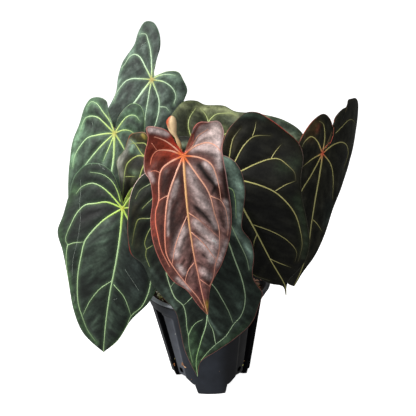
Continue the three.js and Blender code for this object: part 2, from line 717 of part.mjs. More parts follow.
function makePlant() {
  const plant = new THREE.Group();
  const stalks = LEAVES.map((leaf) => (
    { name: leaf.name, path: stalkPath(leaf, leafStalkEnd(leaf)), scale: 1 }
  ));
  const [foot, above] = NEW_LEAF.sections.map(([x, y, z]) => new THREE.Vector3(x, y, z));
  const end = foot.clone().addScaledVector(above.clone().sub(foot).normalize(), -SEAT_GAP - STALK.ease);
  stalks.push({ name: 'new', path: stalkPath(NEW_LEAF, [end.toArray()]), scale: NEW_LEAF.scale });
  plant.add(makePot(), makeSoil(), makeCrown(stalks));
  for (const { name, path, scale } of stalks) {
    const colour = name === 'bronze' ? COLOUR.stalkRed : COLOUR.stalk;
    plant.add(named(`stalk_${name}`, stalkGeometry(path, scale), colour));
  }
  plant.add(...LEAVES.map(makeBlade), makeNewLeaf());
  return plant;
}

const plant = makePlant();
const box = new THREE.Box3().setFromObject(plant, true);
plant.position.set(-(box.min.x + box.max.x) / 2, -(box.min.y + box.max.y) / 2, 0);

export default plant;
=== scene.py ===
"""A potted anthurium hybrid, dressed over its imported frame. Lengths here are in millimetres around
the pot's axis, with the viewer at -Y, and become metres in the frame when a piece is made."""
import math

import bmesh
import bpy
import numpy as np
from mathutils import Matrix, Vector, noise
from mathutils.bvhtree import BVHTree
from mathutils.geometry import barycentric_transform


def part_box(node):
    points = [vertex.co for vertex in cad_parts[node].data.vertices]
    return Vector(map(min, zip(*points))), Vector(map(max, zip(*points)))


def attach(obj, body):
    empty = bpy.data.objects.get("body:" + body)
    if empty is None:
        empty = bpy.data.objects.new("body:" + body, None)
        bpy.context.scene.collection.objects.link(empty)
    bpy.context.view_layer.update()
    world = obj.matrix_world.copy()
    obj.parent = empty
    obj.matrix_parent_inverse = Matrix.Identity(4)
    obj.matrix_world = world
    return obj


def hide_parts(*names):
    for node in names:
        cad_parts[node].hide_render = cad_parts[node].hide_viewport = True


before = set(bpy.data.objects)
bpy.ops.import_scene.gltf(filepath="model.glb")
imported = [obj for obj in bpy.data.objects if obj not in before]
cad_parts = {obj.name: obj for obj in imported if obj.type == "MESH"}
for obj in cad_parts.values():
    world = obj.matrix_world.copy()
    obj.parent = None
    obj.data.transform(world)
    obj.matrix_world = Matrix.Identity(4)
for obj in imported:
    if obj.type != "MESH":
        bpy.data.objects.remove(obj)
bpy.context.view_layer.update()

METRE = 1000
crown_low, crown_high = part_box("crown")
AXIS = np.array([(crown_low[0] + crown_high[0]) / 2, (crown_low[1] + crown_high[1]) / 2, 0.0]) * METRE

# The pot's own dimensions, as in its solid
HEIGHT, LIP_RADIUS, LIP_UNDER, LIP_ROUND, BORE = 110, 65.5, 107, 1.5, 61.1
COLLAR_TOP_RADIUS, COLLAR_BASE, COLLAR_BASE_RADIUS = 64.2, 97, 60.6
BODY_TOP, BODY_TOP_RADIUS, BOTTOM_RADIUS = 95, 59.7, 40.4
WALL, SKIRT, FLOOR_TOP, FLOOR_UNDER, FRONT_ARCH, BACK_ARCH = 1.8, 3, 22, 19.6, 18.5, 12
PANEL_FLAT, FLUTE_DEPTH, GROOVE_DEPTH, FLUTE_FADE, FLUTE_TOP = 0.025, 1.3, 5, 90, 94
SHOULDER_HEIGHT, DRAIN_RADIUS, DRAIN_HEIGHT, DRILL_LENGTH = 11, 3, 25, 14
# Degrees between the feet, and degrees from the middle of a flute
SECTOR, FLUTE_HALF, FLUTE_FLOOR, GROOVE_MOUTH, GROOVE_FLOOR = 120, 24, 20, 5.5, 3.2
FOOT_EDGE, FOOT_SHOULDER = 38.5, 36
# How far the soft pot leans, and how its rim is tilted, oval and raised at one place
LEAN, FOOT_SHIFT, RIM_RETURN, LEAN_FROM, LEAN_TO = -0.038, -1.3, 1.9, 19, 32
RIM_TILT, RIM_OVAL, RIM_RAISED, RAISED_TURN, RAISED_REACH = 0.05, 0.024, 2.4, 1.25, 0.45

SOIL_LEVEL, SOIL_LUMP, BED_RADIUS, BED_BASE = 101, 1.1, 60.2, 94
SHEATH_FOOT, SHEATH_HALF = 105.5, 0.16
# The notch's depth, the share of a margin that fans out from it, and how the rest starts along the midrib
SINUS, FAN_END, INWARD = 4, 0.33, 1.15
LOBE_REACH, ARCH_REACH = 40, 50
STALK_BASE, STALK_SLIM, STALK_SWELL, STALK_FOOT, STALK_SIDES = 2.8, 2, 2.5, 100, 18

# Each leaf: where its notch is, the turns of its face, its bends, the flat blade's lines, its stalk's path
LEAVES = {
    "top_left": dict(
        at=(-57, 42, 324), yaw=-15, pitch=10, roll=-37,
        belly=8, droop=14, lobe=4, arch=9,
        lift_left=(0, 2, -2, 2, 0), lift_right=(0, -2, 3, -2, 0),
        spine=((0, 0), (1, -30), (1, -61), (1, -91), (0, -117)),
        left=((-7, 12), (-14, 31), (-25, 42), (-38, 46), (-46, 41), (-45, 29), (-40, 16), (-39, -5),
            (-32, -20), (-22, -35), (-18, -54), (-14, -76), (-8, -101)),
        right=((1, 6), (8, 17), (17, 23), (25, 20), (35, 14), (39, 3), (45, -10), (50, -25), (49, -44),
            (38, -72), (17, -101)),
        root=(-5, 8), via=((-12, 24, 160), (-34, 50, 250), (-51, 60, 304)),
        veins=(
            ((0, 0), (-9, 11), (-21, 23), (-30, 29), (-36, 32), (-41, 29)),
            ((0, 0), (-14, 6), (-26, 10), (-33, 8), (-36, 2), (-35, -7), (-35, -12)),
            ((0, 0), (-9, -6), (-17, -12), (-21, -18), (-22, -27), (-21, -36), (-18, -43)),
            ((0, 0), (0, -16), (1, -30), (1, -44)),
            ((0, 0), (11, -6), (19, -11), (25, -18), (30, -27), (34, -40), (33, -56), (27, -78)),
            ((0, 0), (11, 6), (17, 7), (24, 6), (30, 2), (34, -6)),
            ((0, 0), (3, 7), (9, 14), (17, 19)),
            ((24, -17), (30, -13), (35, -14)),
            ((0, 0), (5, -9), (11, -19), (17, -30), (24, -41)),
        ),
    ),
    "middle_left": dict(
        at=(-94, 0, 276), yaw=-12, pitch=8, roll=-16,
        belly=8, droop=14, lobe=4, arch=12,
        lift_left=(0, 3, -2, 2, -2, 0), lift_right=(0, 3, -2, 3, 0),
        spine=((0, 0), (7, -25), (10, -63), (5, -97), (0, -123)),
        left=((-6, 7), (-13, 18), (-17, 28), (-24, 30), (-35, 26), (-40, 16), (-42, -4), (-44, -23),
            (-40, -43), (-35, -71), (-29, -94), (-15, -114)),
        right=((-1, 12), (1, 22), (9, 34), (18, 34), (25, 24), (29, 9), (34, -9), (35, -38), (29, -72),
            (14, -106)),
        root=(-10.5, 3.5), via=((-30, 8, 150), (-66, 16, 220), (-86, 19, 258)),
        veins=(
            ((0, 0), (-8, 10), (-18, 17), (-27, 23), (-34, 23), (-37, 18)),
            ((0, 0), (-14, 7), (-22, 10), (-30, 9), (-36, 5), (-38, -1), (-38, -9)),
            ((0, 0), (-9, -3), (-19, -8), (-27, -13), (-33, -24), (-36, -35), (-35, -47)),
            ((0, 0), (-8, -13), (-17, -31), (-23, -47), (-25, -64)),
            ((0, 0), (-1, -14), (-3, -30)),
            ((0, 0), (9, -7), (16, -14), (22, -24), (25, -39), (22, -60)),
            ((0, 0), (6, 5), (11, 7), (16, 7), (20, 5)),
            ((0, 0), (3, 10), (7, 19), (12, 23), (17, 23), (21, 20)),
        ),
    ),
    "low_left": dict(
        at=(-84, -55, 213), yaw=-5, pitch=5, roll=-10,
        belly=9, droop=16, lobe=5, arch=12,
        lift_left=(0, 3, -3, 3, -2, 2, 0), lift_right=(0, 3, -2, 2, -2, 0),
        spine=((0, 0), (2, -26), (2, -53), (0, -88), (-1, -127), (-1, -157)),
        left=((-6, 17), (-15, 32), (-28, 38), (-43, 34), (-55, 18), (-58, -1), (-60, -21), (-63, -38),
            (-55, -55), (-45, -85), (-35, -115), (-23, -138), (-9, -151)),
        right=((2, 12), (6, 21), (14, 26), (23, 22), (29, 8), (34, -12), (38, -36), (43, -56), (44, -73),
            (39, -90), (23, -114), (12, -140)),
        root=(-10.5, -4), via=((-32, -18, 135), (-58, -38, 168), (-77, -45, 194)),
        veins=(
            ((-3, 6), (-8, 17), (-15, 25), (-25, 29), (-38, 28)),
            ((0, 0), (-15, 12), (-25, 17), (-33, 18), (-40, 15), (-46, 10), (-50, 3)),
            ((0, 0), (-16, 3), (-28, -1), (-38, -5), (-45, -14), (-50, -28), (-53, -43), (-50, -48)),
            ((-50, -48), (-50, -62), (-48, -73), (-44, -92)),
            ((0, 0), (-15, -13), (-25, -26), (-32, -39), (-34, -55), (-35, -72), (-34, -90),
                (-31, -106), (-26, -118), (-19, -133), (-10, -145)),
            ((0, 0), (9, -12), (23, -28), (33, -47), (38, -71), (33, -95), (23, -109), (18, -131),
                (7, -149)),
            ((0, 0), (12, 3), (21, 2), (29, -6), (34, -20), (36, -37)),
            ((0, 0), (6, 12), (14, 18), (22, 14)),
            ((1, -72), (-10, -83), (-19, -99), (-25, -117)),
            ((3, -76), (14, -87), (20, -99), (23, -109)),
            ((-50, -48), (-44, -44), (-33, -40)),
        ),
    ),
    "front": dict(
        at=(-21, -78, 239), yaw=0, pitch=2, roll=2,
        belly=10, droop=6, lobe=2, arch=8,
        lift_left=(0, -2, 2, -5, 2, -2, 0), lift_right=(0, -3, -8, 2, -4, 2, 0),
        spine=((0, 0), (2, -29), (6, -59), (10, -89), (13, -119), (11, -136), (5, -154), (-1, -176),
            (-1, -196)),
        left=((-4, 12), (-12, 18), (-24, 19), (-36, 15), (-46, 7), (-53, -6), (-57, -26), (-59, -49),
            (-57, -66), (-47, -75), (-39, -93), (-28, -107), (-18, -121), (-15, -138), (-12, -163),
            (-6, -183)),
        right=((7, 14), (15, 24), (25, 28), (35, 27), (45, 21), (52, 9), (55, -9), (52, -30), (50, -44),
            (58, -57), (60, -69), (58, -91), (63, -103), (67, -111), (63, -124), (55, -141), (40, -153),
            (18, -167), (3, -178)),
        root=(1.5, -11), via=((-4, -28, 140), (-14, -50, 190), (-20, -60, 224)),
        veins=(
            ((0, 0), (-14, 10), (-26, 8), (-34, 4), (-44, -2), (-49, -10)),
            ((0, 0), (-15, 4), (-27, -3), (-32, -9), (-39, -15), (-43, -19)),
            ((0, 0), (-16, -10), (-30, -25), (-36, -28), (-47, -29), (-51, -37), (-56, -56)),
            ((-42, -59), (-35, -54)),
            ((0, 0), (-16, -15), (-30, -31), (-37, -39), (-42, -49), (-43, -54), (-42, -59), (-43, -66),
                (-40, -77)),
            ((0, 0), (-11, -21), (-18, -40), (-22, -61), (-24, -80), (-21, -96), (-17, -107),
                (-10, -115), (-8, -126), (-8, -138), (-7, -148), (-7, -161), (-5, -179)),
            ((0, 0), (14, -15), (27, -33), (36, -53), (42, -73), (46, -86), (49, -100), (50, -112),
                (48, -124), (44, -132), (38, -138), (29, -151), (19, -159), (11, -167), (4, -176)),
            ((0, 0), (17, 1), (30, -10), (36, -25), (39, -37), (43, -47), (48, -59), (53, -72), (55, -84)),
            ((0, 0), (11, 17), (24, 20), (33, 10), (38, -3), (43, -7), (45, -16), (45, -34)),
            ((4, -76), (12, -86), (21, -97), (28, -111), (34, -126), (37, -137)),
            ((19, -158), (17, -142), (14, -134), (13, -128)),
            ((9, -96), (3, -101), (-2, -107), (-10, -115)),
            ((-7, -148), (-3, -139), (1, -134), (8, -130)),
            ((3, -62), (-4, -74), (-14, -87), (-21, -96)),
        ),
    ),
    "inner_left": dict(
        at=(-59, -36, 258), yaw=-22, pitch=5, roll=-14,
        belly=6, droop=10, lobe=3, arch=14,
        lift_left=(0, 2, -2, 2, 0), lift_right=(0, 2, -2, 2, 0),
        spine=((0, 0), (5, -21), (6, -47), (0, -81)),
        left=((-2, 12), (-4, 19), (-9, 23), (-16, 21), (-24, 16), (-28, 0), (-35, -16), (-29, -25),
            (-20, -40), (-15, -57), (-9, -71)),
        right=((1, 12), (6, 19), (14, 22), (21, 17), (26, 3), (28, -18), (27, -40), (15, -64)),
        root=(-5.5, -9.5), via=((-20, -16, 150), (-40, -20, 205), (-51, -19, 243)),
        veins=(
            ((0, 0), (-8, 0), (-12, -2), (-16, -6), (-20, -12), (-21, -18), (-20, -26), (-18, -36),
                (-15, -55)),
            ((0, 0), (-7, 2), (-15, 8), (-23, 12)),
            ((0, 0), (-2, 9), (-6, 13), (-14, 11), (-22, 8)),
            ((-18, -25), (-13, -23), (-7, -21)),
            ((0, 0), (-2, -13), (-2, -31), (-3, -57), (-1, -73)),
            ((0, 0), (9, 0), (17, -5), (21, -24), (18, -49), (8, -70)),
            ((0, 0), (4, 9), (11, 12), (18, 6)),
        ),
    ),
    "bronze": dict(
        at=(-22, -108, 276), yaw=5, pitch=8, roll=7, sinus=1.5,
        belly=8, droop=6, lobe=-4, arch=14,
        lift_left=(0, 10, 6, -4, 2, -2, 0), lift_right=(0, 8, 12, -3, -6, -2, 0),
        spine=((0, 0), (-2, -18), (-4, -42), (-5, -64), (-5, -89), (-4, -108), (-3, -128), (-1, -149)),
        left=((-5, 12), (-10, 23), (-17, 28), (-28, 30), (-28, 21), (-34, 5), (-36, -9), (-33, -16),
            (-33, -34), (-38, -53), (-39, -71), (-35, -92), (-27, -111), (-16, -122), (-8, -138)),
        right=((7, 7), (11, 14), (12, 22), (18, 27), (26, 26), (35, 25), (38, 17), (34, 0), (35, -28),
            (35, -58), (31, -78), (20, -101), (8, -117), (3, -128), (1, -139)),
        root=(8, -8.5), via=((6, -26, 140), (6, -46, 200), (-4, -62, 242), (-17, -76, 263)),
        veins=(
            ((0, 0), (-7, 9), (-14, 16), (-23, 21)),
            ((0, 0), (-10, 6), (-17, 8), (-23, 8), (-28, 3), (-30, -3)),
            ((0, 0), (-13, -4), (-21, -9), (-25, -19), (-28, -36), (-32, -45), (-34, -55), (-34, -66),
                (-33, -80), (-28, -97)),
            ((0, 0), (-9, -14), (-19, -33), (-24, -49), (-28, -69), (-29, -85), (-25, -97), (-16, -115),
                (-8, -129), (-3, -142)),
            ((-6, -53), (-14, -66), (-21, -80), (-26, -96)),
            ((-6, -96), (-12, -102), (-15, -108), (-17, -115)),
            ((0, 0), (8, 6), (15, 15), (25, 20)),
            ((0, 0), (6, 4), (13, 7), (23, 8), (30, 4), (33, -1)),
            ((0, 0), (14, -4), (23, -11), (26, -21), (27, -31), (27, -46)),
            ((0, 0), (9, -18), (17, -36), (19, -54), (21, -69), (20, -81), (17, -93), (13, -101),
                (9, -114), (4, -122)),
            ((18, -39), (27, -46), (30, -56), (30, -69), (28, -79)),
            ((-5, -49), (6, -60), (20.5, -79)),
            ((-4, -68), (5, -80), (11, -92), (15, -101)),
            ((-3, -113), (0, -116), (4, -121)),
            ((-22, 8), (-24, 12), (-26, 16)),
            ((-22, -12), (-27, -9), (-31, -9)),
            ((-18, -32), (-24, -34), (-29, -37)),
        ),
    ),
    "back_right": dict(
        at=(-9, 4, 256), yaw=5, pitch=10, roll=70,
        belly=6, droop=12, lobe=4, arch=8,
        lift_left=(0, 2, -2, 2, 0), lift_right=(0, 2, -2, 3, -2, 0),
        spine=((0, 0), (5, -26), (8, -58), (7, -92), (0, -126)),
        left=((-12, 4), (-23, -1), (-30, -14), (-30, -35), (-26, -62), (-20, -87), (-12, -110)),
        right=((4, 11), (7, 20), (6, 27), (11, 34), (21, 38), (30, 36), (42, 30), (47, 18), (46, 8),
            (51, -11), (49, -23), (52, -38), (55, -54), (56, -76), (50, -98), (31, -115)),
        root=(3.5, 9), via=((4, 18, 150), (0, 24, 205), (-9, 23, 238)),
        veins=(
            ((0, 0), (5, 6), (12, 13), (20, 18), (24, 19), (30, 19), (40, 16)),
            ((0, 0), (12, -2), (26, -1), (31, 0), (37, 5), (41, 12)),
            ((0, 0), (16, -1), (31, -1), (38, -4), (41, -7), (44, -14), (46, -20), (46, -25)),
            ((0, 0), (12, -9), (20, -16), (26, -23), (32, -32), (39, -44), (41, -58), (43, -73),
                (41, -88)),
            ((0, 0), (-8, -6), (-16, -18), (-19, -34), (-16, -57), (-8, -84)),
            ((0, 0), (-9, 2), (-21, -4), (-27, -15)),
            ((5, -21), (18, -29), (33, -36)),
            ((9, -49), (24, -56), (42, -63)),
        ),
    ),
    "right": dict(
        at=(18, -30, 236), yaw=-8, pitch=5, roll=26,
        belly=8, droop=12, lobe=4, arch=6,
        lift_left=(0, 2, -2, 2, 0), lift_right=(0, 2, -3, 2, -3, 2, 0),
        spine=((0, 0), (1, -19), (2, -38), (3, -61), (3, -94), (3, -128), (-1, -138)),
        left=((-2, 16), (-5, 32), (-12, 45), (-24, 55), (-38, 52), (-43, 30), (-37, 1), (-32, -28),
            (-29, -57), (-26, -84), (-20, -101), (-9, -118), (1, -127)),
        right=((4, 17), (12, 32), (22, 41), (34, 46), (44, 48), (54, 43), (61, 33), (70, 16), (77, -1),
            (76, -15), (65, -33), (58, -51), (52, -75), (45, -96), (33, -111), (22, -117), (9, -123),
            (3, -130)),
        root=(11, -2.5), via=((14, -10, 150), (17, -10, 200), (20, -12, 221)),
        veins=(
            ((0, 0), (10, 15), (22, 31), (33, 37)),
            ((0, 0), (14, 10), (28, 20), (40, 24), (47, 22), (56, 17)),
            ((0, 0), (15, -1), (30, -1), (46, -3), (54, -7), (59, -16), (62, -25), (60, -33)),
            ((0, 0), (13, -10), (27, -22), (37, -34), (43, -49), (45, -63), (43, -78), (38, -94),
                (27, -108)),
            ((0, 0), (-24, -21), (-36, -48), (-34, -73), (-24, -97), (-8, -115)),
            ((0, 0), (-19, 23), (-32, 22), (-39, 3), (-36, -32)),
            ((0, 0), (-8, 26), (-20, 41), (-30, 40)),
            ((4, -54), (12, -62), (19, -70), (27, -83), (30, -98), (24, -107)),
            ((47, -3), (55, 2), (62, 5)),
            ((40, 25), (45, 30), (49, 36)),
            ((38, -33), (49, -32), (60, -33)),
            ((3, -64), (-3, -70), (-6, -75)),
            ((3, -93), (11, -103), (18, -111)),
        ),
    ),
    "far_right": dict(
        at=(118, 8, 249), yaw=35, pitch=5, roll=-15,
        belly=7, droop=12, lobe=4, arch=10,
        lift_left=(0, 2, -2, 2, 0), lift_right=(0, 3, -3, 2, 0),
        spine=((0, 0), (-3, -24), (-5, -48), (-4, -74), (-1, -93), (1, -115), (0, -142)),
        left=((8, 14), (11, 24), (5, 36), (-4, 40), (-17, 32), (-26, 19), (-31, 5), (-35, -16),
            (-37, -47), (-36, -77), (-29, -103), (-20, -126), (-10, -139)),
        right=((8, 11), (10, 22), (12, 37), (23, 48), (34, 54), (36, 60), (45, 63), (57, 65), (63, 62),
            (64, 54), (62, 32), (58, 4), (39, -29), (23, -57), (18, -81), (12, -107), (4, -125)),
        root=(10, 4.5), via=((38, 0, 150), (72, -2, 195), (101, 9, 231)),
        veins=(
            ((0, 0), (-10, 12), (-18, 15), (-24, 10), (-27, 3)),
            ((0, 0), (0, 18), (-4, 30), (-10, 32)),
            ((0, 0), (-13, -7), (-25, -17)),
            ((0, 0), (-14, -24), (-25, -46), (-23, -71), (-12, -100)),
            ((0, 0), (13, -10), (19, -24), (22, -45)),
            ((0, 0), (13, 10), (29, 15), (41, 12), (47, 3), (40, -10)),
            ((15, 23), (24, 30), (37, 39), (46, 41), (55, 38)),
            ((-3, -69), (5, -74), (12, -80)),
        ),
    ),
}

# The newest leaf, still rolled: its centre line with half its width and half its depth there
NEW_LEAF = (
    (-26.2, -60, 272, 1.2, 1.1), (-26.9, -60, 276, 2.1, 1.5), (-28.1, -60, 279.4, 2, 1.5),
    (-29.8, -60, 283.1, 1.7, 1.5), (-32.1, -60, 287.1, 2.9, 2), (-32.9, -60, 290.4, 3.9, 2.4),
    (-33.4, -60, 294.2, 4.6, 2.8), (-33.8, -60, 297.7, 4.8, 2.7), (-33.4, -60, 301.4, 3.4, 2),
    (-33.1, -60, 303.4, 1.2, 0.9),
)
NEW_ROOT, NEW_VIA, NEW_SCALE = (0, -1), ((-2, -14, 160), (-12, -38, 222), (-23, -57, 262)), 0.68


def srgb(*rgb):
    """A colour given as it looks on a screen, 0 to 255, as linear light."""
    c = np.array(rgb, float) / 255
    return np.where(c <= 0.04045, c / 12.92, ((c + 0.055) / 1.055) ** 2.4)


def smoothstep(x, low, high):
    """0 at low, 1 at high and smooth between."""
    s = np.clip((np.asarray(x, float) - low) / (high - low), 0, 1)
    return s * s * (3 - 2 * s)


def mix(a, b, share):
    share = np.asarray(share, float)[..., None]
    return np.asarray(a) * (1 - share) + np.asarray(b) * share


def curve_through(points, count):
    """A centripetal Catmull-Rom curve through points, as count evenly spaced ones."""
    p = np.array(points, float)
    p = np.vstack([2 * p[0] - p[1], p, 2 * p[-1] - p[-2]])
    s = np.linspace(0, 1, 17)[:-1, None]
    dense = []
    for x0, x1, x2, x3 in zip(p, p[1:], p[2:], p[3:]):
        d0, d1, d2 = (np.linalg.norm(q) ** 0.5 for q in (x1 - x0, x2 - x1, x3 - x2))
        t1 = ((x1 - x0) / d0 - (x2 - x0) / (d0 + d1) + (x2 - x1) / d1) * d1
        t2 = ((x2 - x1) / d1 - (x3 - x1) / (d1 + d2) + (x3 - x2) / d2) * d1
        dense.append(x1 + t1 * s + (3 * (x2 - x1) - 2 * t1 - t2) * s**2 + (2 * (x1 - x2) + t1 + t2) * s**3)
    dense = np.vstack([*dense, p[-2:-1]])
    reach = np.r_[0, np.cumsum(np.linalg.norm(np.diff(dense, axis=0), axis=1))]
    at = np.linspace(0, reach[-1], count)
    return np.stack([np.interp(at, reach, dense[:, k]) for k in range(p.shape[1])], axis=1)


def value_along(values, t):
    """A smooth value through numbers that are set evenly along 0..1."""
    last = len(values) - 1
    at = np.clip(t, 0, 1) * last
    i = np.clip(np.floor(at).astype(int), 0, last - 1)
    f = at - i
    v = np.array(values, float)
    a, b, c, d = (v[np.clip(i + k, 0, last)] for k in (-1, 0, 1, 2))
    return 0.5 * (2 * b + (c - a) * f + (2 * a - 5 * b + 4 * c - d) * f**2 + (3 * b - a - 3 * c + d) * f**3)


def noisy(points, scale, octaves=2, seed=0.0):
    """Smooth noise of about -1 to 1 at each point."""
    shift = Vector((seed, seed * 1.7, seed * 0.6))
    return np.array([noise.fractal(Vector(p) * scale + shift, 0.9, 2.1, octaves) for p in points.tolist()])


def vertex_normals(points, triangles):
    a, b, c = (points[triangles[:, k]] for k in range(3))
    facing = np.cross(b - a, c - a)
    normals = np.zeros_like(points)
    for k in range(3):
        np.add.at(normals, triangles[:, k], facing)
    return normals / np.maximum(np.linalg.norm(normals, axis=1, keepdims=True), 1e-9)


def ring_faces(rings, sides):
    """A closed skin over rings of points, with a cap at each end."""
    faces = []
    for low in range(0, (rings - 1) * sides, sides):
        high = low + sides
        faces += [(low + k, low + (k + 1) % sides, high + (k + 1) % sides, high + k) for k in range(sides)]
    return faces + [tuple(range(sides))[::-1], tuple(range((rings - 1) * sides, rings * sides))]


def tube(points, sideways, deep, widths, depths, sides):
    """A closed tube whose rings lie along sideways and deep, both one vector for each point."""
    turn = np.arange(sides) / sides * 2 * math.pi
    ring = (points[:, None] + sideways[:, None] * (np.cos(turn)[None, :, None] * widths[:, None, None])
            + deep[:, None] * (np.sin(turn)[None, :, None] * depths[:, None, None]))
    return ring.reshape(-1, 3), ring_faces(len(points), sides)


def put(name, data):
    """A new object in the scene."""
    thing = bpy.data.objects.new(name, data)
    bpy.context.scene.collection.objects.link(thing)
    return thing


def make(name, points, faces, material, tint, slots, flat=False):
    """A mesh object from points in millimetres, with a colour for each point in its tint attribute."""
    mesh = bpy.data.meshes.new(name)
    mesh.from_pydata(((np.asarray(points) + AXIS) / METRE).tolist(), [], [list(f) for f in faces])
    layer = mesh.color_attributes.new("tint", "FLOAT_COLOR", "POINT")
    layer.data.foreach_set("color", np.c_[np.clip(tint, 0, 1), np.ones(len(points))].ravel())
    mesh.materials.append(material)
    mesh.shade_flat() if flat else mesh.shade_smooth()
    mesh.validate()
    piece = put(name, mesh)
    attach(piece, "root")
    return piece


def make_joined(name, parts, material, slots, flat=False):
    """One object from several (points, faces, tint)."""
    points, faces, tints, base = [], [], [], 0
    for p, f, c in parts:
        points.append(p)
        faces += [[i + base for i in face] for face in f]
        tints.append(np.broadcast_to(c, (len(p), 3)))
        base += len(p)
    make(name, np.vstack(points), faces, material, np.vstack(tints), slots, flat)


# ---- materials

CLOUD_MIDDLE = (0.3, 0.7)  # where most of the cloud noise's values lie
ROUGHNESS_SPREAD, SHEEN_ROUGHNESS, COAT_ROUGHNESS = 0.06, 0.4, 0.3


def fill(node, values):
    for key, value in values.items():
        node.inputs[key].default_value = value


class Graph:
    """The shader nodes of a material or of the world."""

    def __init__(self, owner):
        owner.use_nodes = True
        self.owner, self.nodes, self.links = owner, owner.node_tree.nodes, owner.node_tree.links

    def new(self, kind, **settings):
        node = self.nodes.new(f"ShaderNode{kind}")
        for key, value in settings.items():
            setattr(node, key, value)
        return node

    def tint(self):
        """The colour that make gives each point."""
        return self.new("Attribute", attribute_name="tint").outputs["Color"]

    def texture(self, kind, scale, **values):
        """A texture over object coordinates, which are metres in the part's frame."""
        node = self.new(f"Tex{kind}")
        fill(node, {"Scale": scale, **values})
        self.links.new(self.new("TexCoord").outputs["Object"], node.inputs["Vector"])
        return node

    def ranged(self, source, low, high, from_low, from_high):
        """Low to high, while source goes from from_low to from_high."""
        node = self.new("MapRange")
        self.links.new(source, node.inputs["Value"])
        fill(node, {"From Min": from_low, "From Max": from_high, "To Min": low, "To Max": high})
        return node.outputs["Result"]

    def scaled(self, colour, factor):
        """colour, a socket, times factor, a socket."""
        node = self.new("VectorMath", operation="SCALE")
        self.links.new(colour, node.inputs[0])
        self.links.new(factor, node.inputs["Scale"])
        return node.outputs["Vector"]

    def bump(self, shader, height, distance, strength, before=None):
        node = self.new("Bump")
        fill(node, {"Strength": strength, "Distance": distance})
        self.links.new(height, node.inputs["Height"])
        if before is not None:
            self.links.new(before, node.inputs["Normal"])
        self.links.new(node.outputs["Normal"], shader.inputs["Normal"])
        return node.outputs["Normal"]


def new_material(name, roughness, specular, **values):
    graph = Graph(bpy.data.materials.new(name))
    shader = graph.nodes["Principled BSDF"]
    fill(shader, {"Roughness": roughness, "Specular IOR Level": specular, **values})
    return graph, shader


def tinted_material(name, roughness, specular, grain=2200, grain_depth=0.00006, mottle=420,
                    mottle_range=(0.66, 1.34), sheen=0.0, sheen_tint=(1, 1, 1), coat=0.0):
    """Colour from the tint attribute, broken up by soft mottling, with a fine grain in its relief."""
    graph, shader = new_material(name, roughness, specular)
    fill(shader, {"Sheen Weight": sheen, "Sheen Roughness": SHEEN_ROUGHNESS, "Sheen Tint": (*sheen_tint, 1),
                  "Coat Weight": coat, "Coat Roughness": COAT_ROUGHNESS})
    clouds = graph.texture("Noise", mottle, Detail=6.0, Roughness=0.66).outputs["Fac"]
    fine = graph.texture("Noise", grain, Detail=3.0, Roughness=0.65).outputs["Fac"]
    shade = graph.ranged(clouds, *mottle_range, *CLOUD_MIDDLE)
    rough = graph.ranged(clouds, roughness + ROUGHNESS_SPREAD, roughness - ROUGHNESS_SPREAD, *CLOUD_MIDDLE)
    graph.links.new(graph.scaled(graph.tint(), shade), shader.inputs["Base Color"])
    graph.links.new(rough, shader.inputs["Roughness"])
    soft = graph.bump(shader, clouds, grain_depth * 2, 0.5)
    graph.bump(shader, fine, grain_depth, 0.8, soft)
    return graph.owner


# Each kind of blade: its slot and its material
BLADES = {
    "green": ("blade_green", tinted_material(
        "velvet_green", 0.6, 0.3, sheen=0.3, sheen_tint=(0.85, 1.0, 0.9))),
    "deep": ("blade_green", tinted_material(
        "velvet_deep_green", 0.6, 0.2, sheen=0.05, sheen_tint=(0.8, 0.95, 0.85))),
    "black": ("blade_black", tinted_material(
        "velvet_black_green", 0.6, 0.16, sheen=0.03, sheen_tint=(0.9, 0.95, 0.7))),
    "olive": ("blade_olive", tinted_material(
        "soft_olive", 0.58, 0.25, sheen=0.08, sheen_tint=(0.9, 0.95, 0.75))),
    "bronze": ("blade_bronze", tinted_material(
        "glossy_bronze", 0.5, 0.22, grain_depth=0.0001, sheen=0.05, sheen_tint=(1, 0.85, 0.82), coat=0.03,
        mottle_range=(0.6, 1.4))),
}
VEIN_MATERIAL = tinted_material("vein", 0.42, 0.45, mottle=500, mottle_range=(0.88, 1.1))
MARGIN_MATERIAL = tinted_material("margin", 0.4, 0.45, mottle=400, mottle_range=(0.8, 1.15))
STALK_MATERIAL = tinted_material("stalk", 0.38, 0.5, mottle=300, mottle_range=(0.8, 1.15), grain=900)
CROWN_MATERIAL = tinted_material("crown", 0.8, 0.25, grain=700, grain_depth=0.0003, mottle=180,
                                 mottle_range=(0.55, 1.3))
CHIP_MATERIAL = tinted_material("bark_and_pumice", 0.85, 0.25, grain=900, grain_depth=0.0003, mottle=220,
                                mottle_range=(0.6, 1.3))
NEW_LEAF_MATERIAL = tinted_material("new_leaf", 0.42, 0.45, mottle=350, mottle_range=(0.85, 1.08))

# ---- leaf colours, as they look on a screen

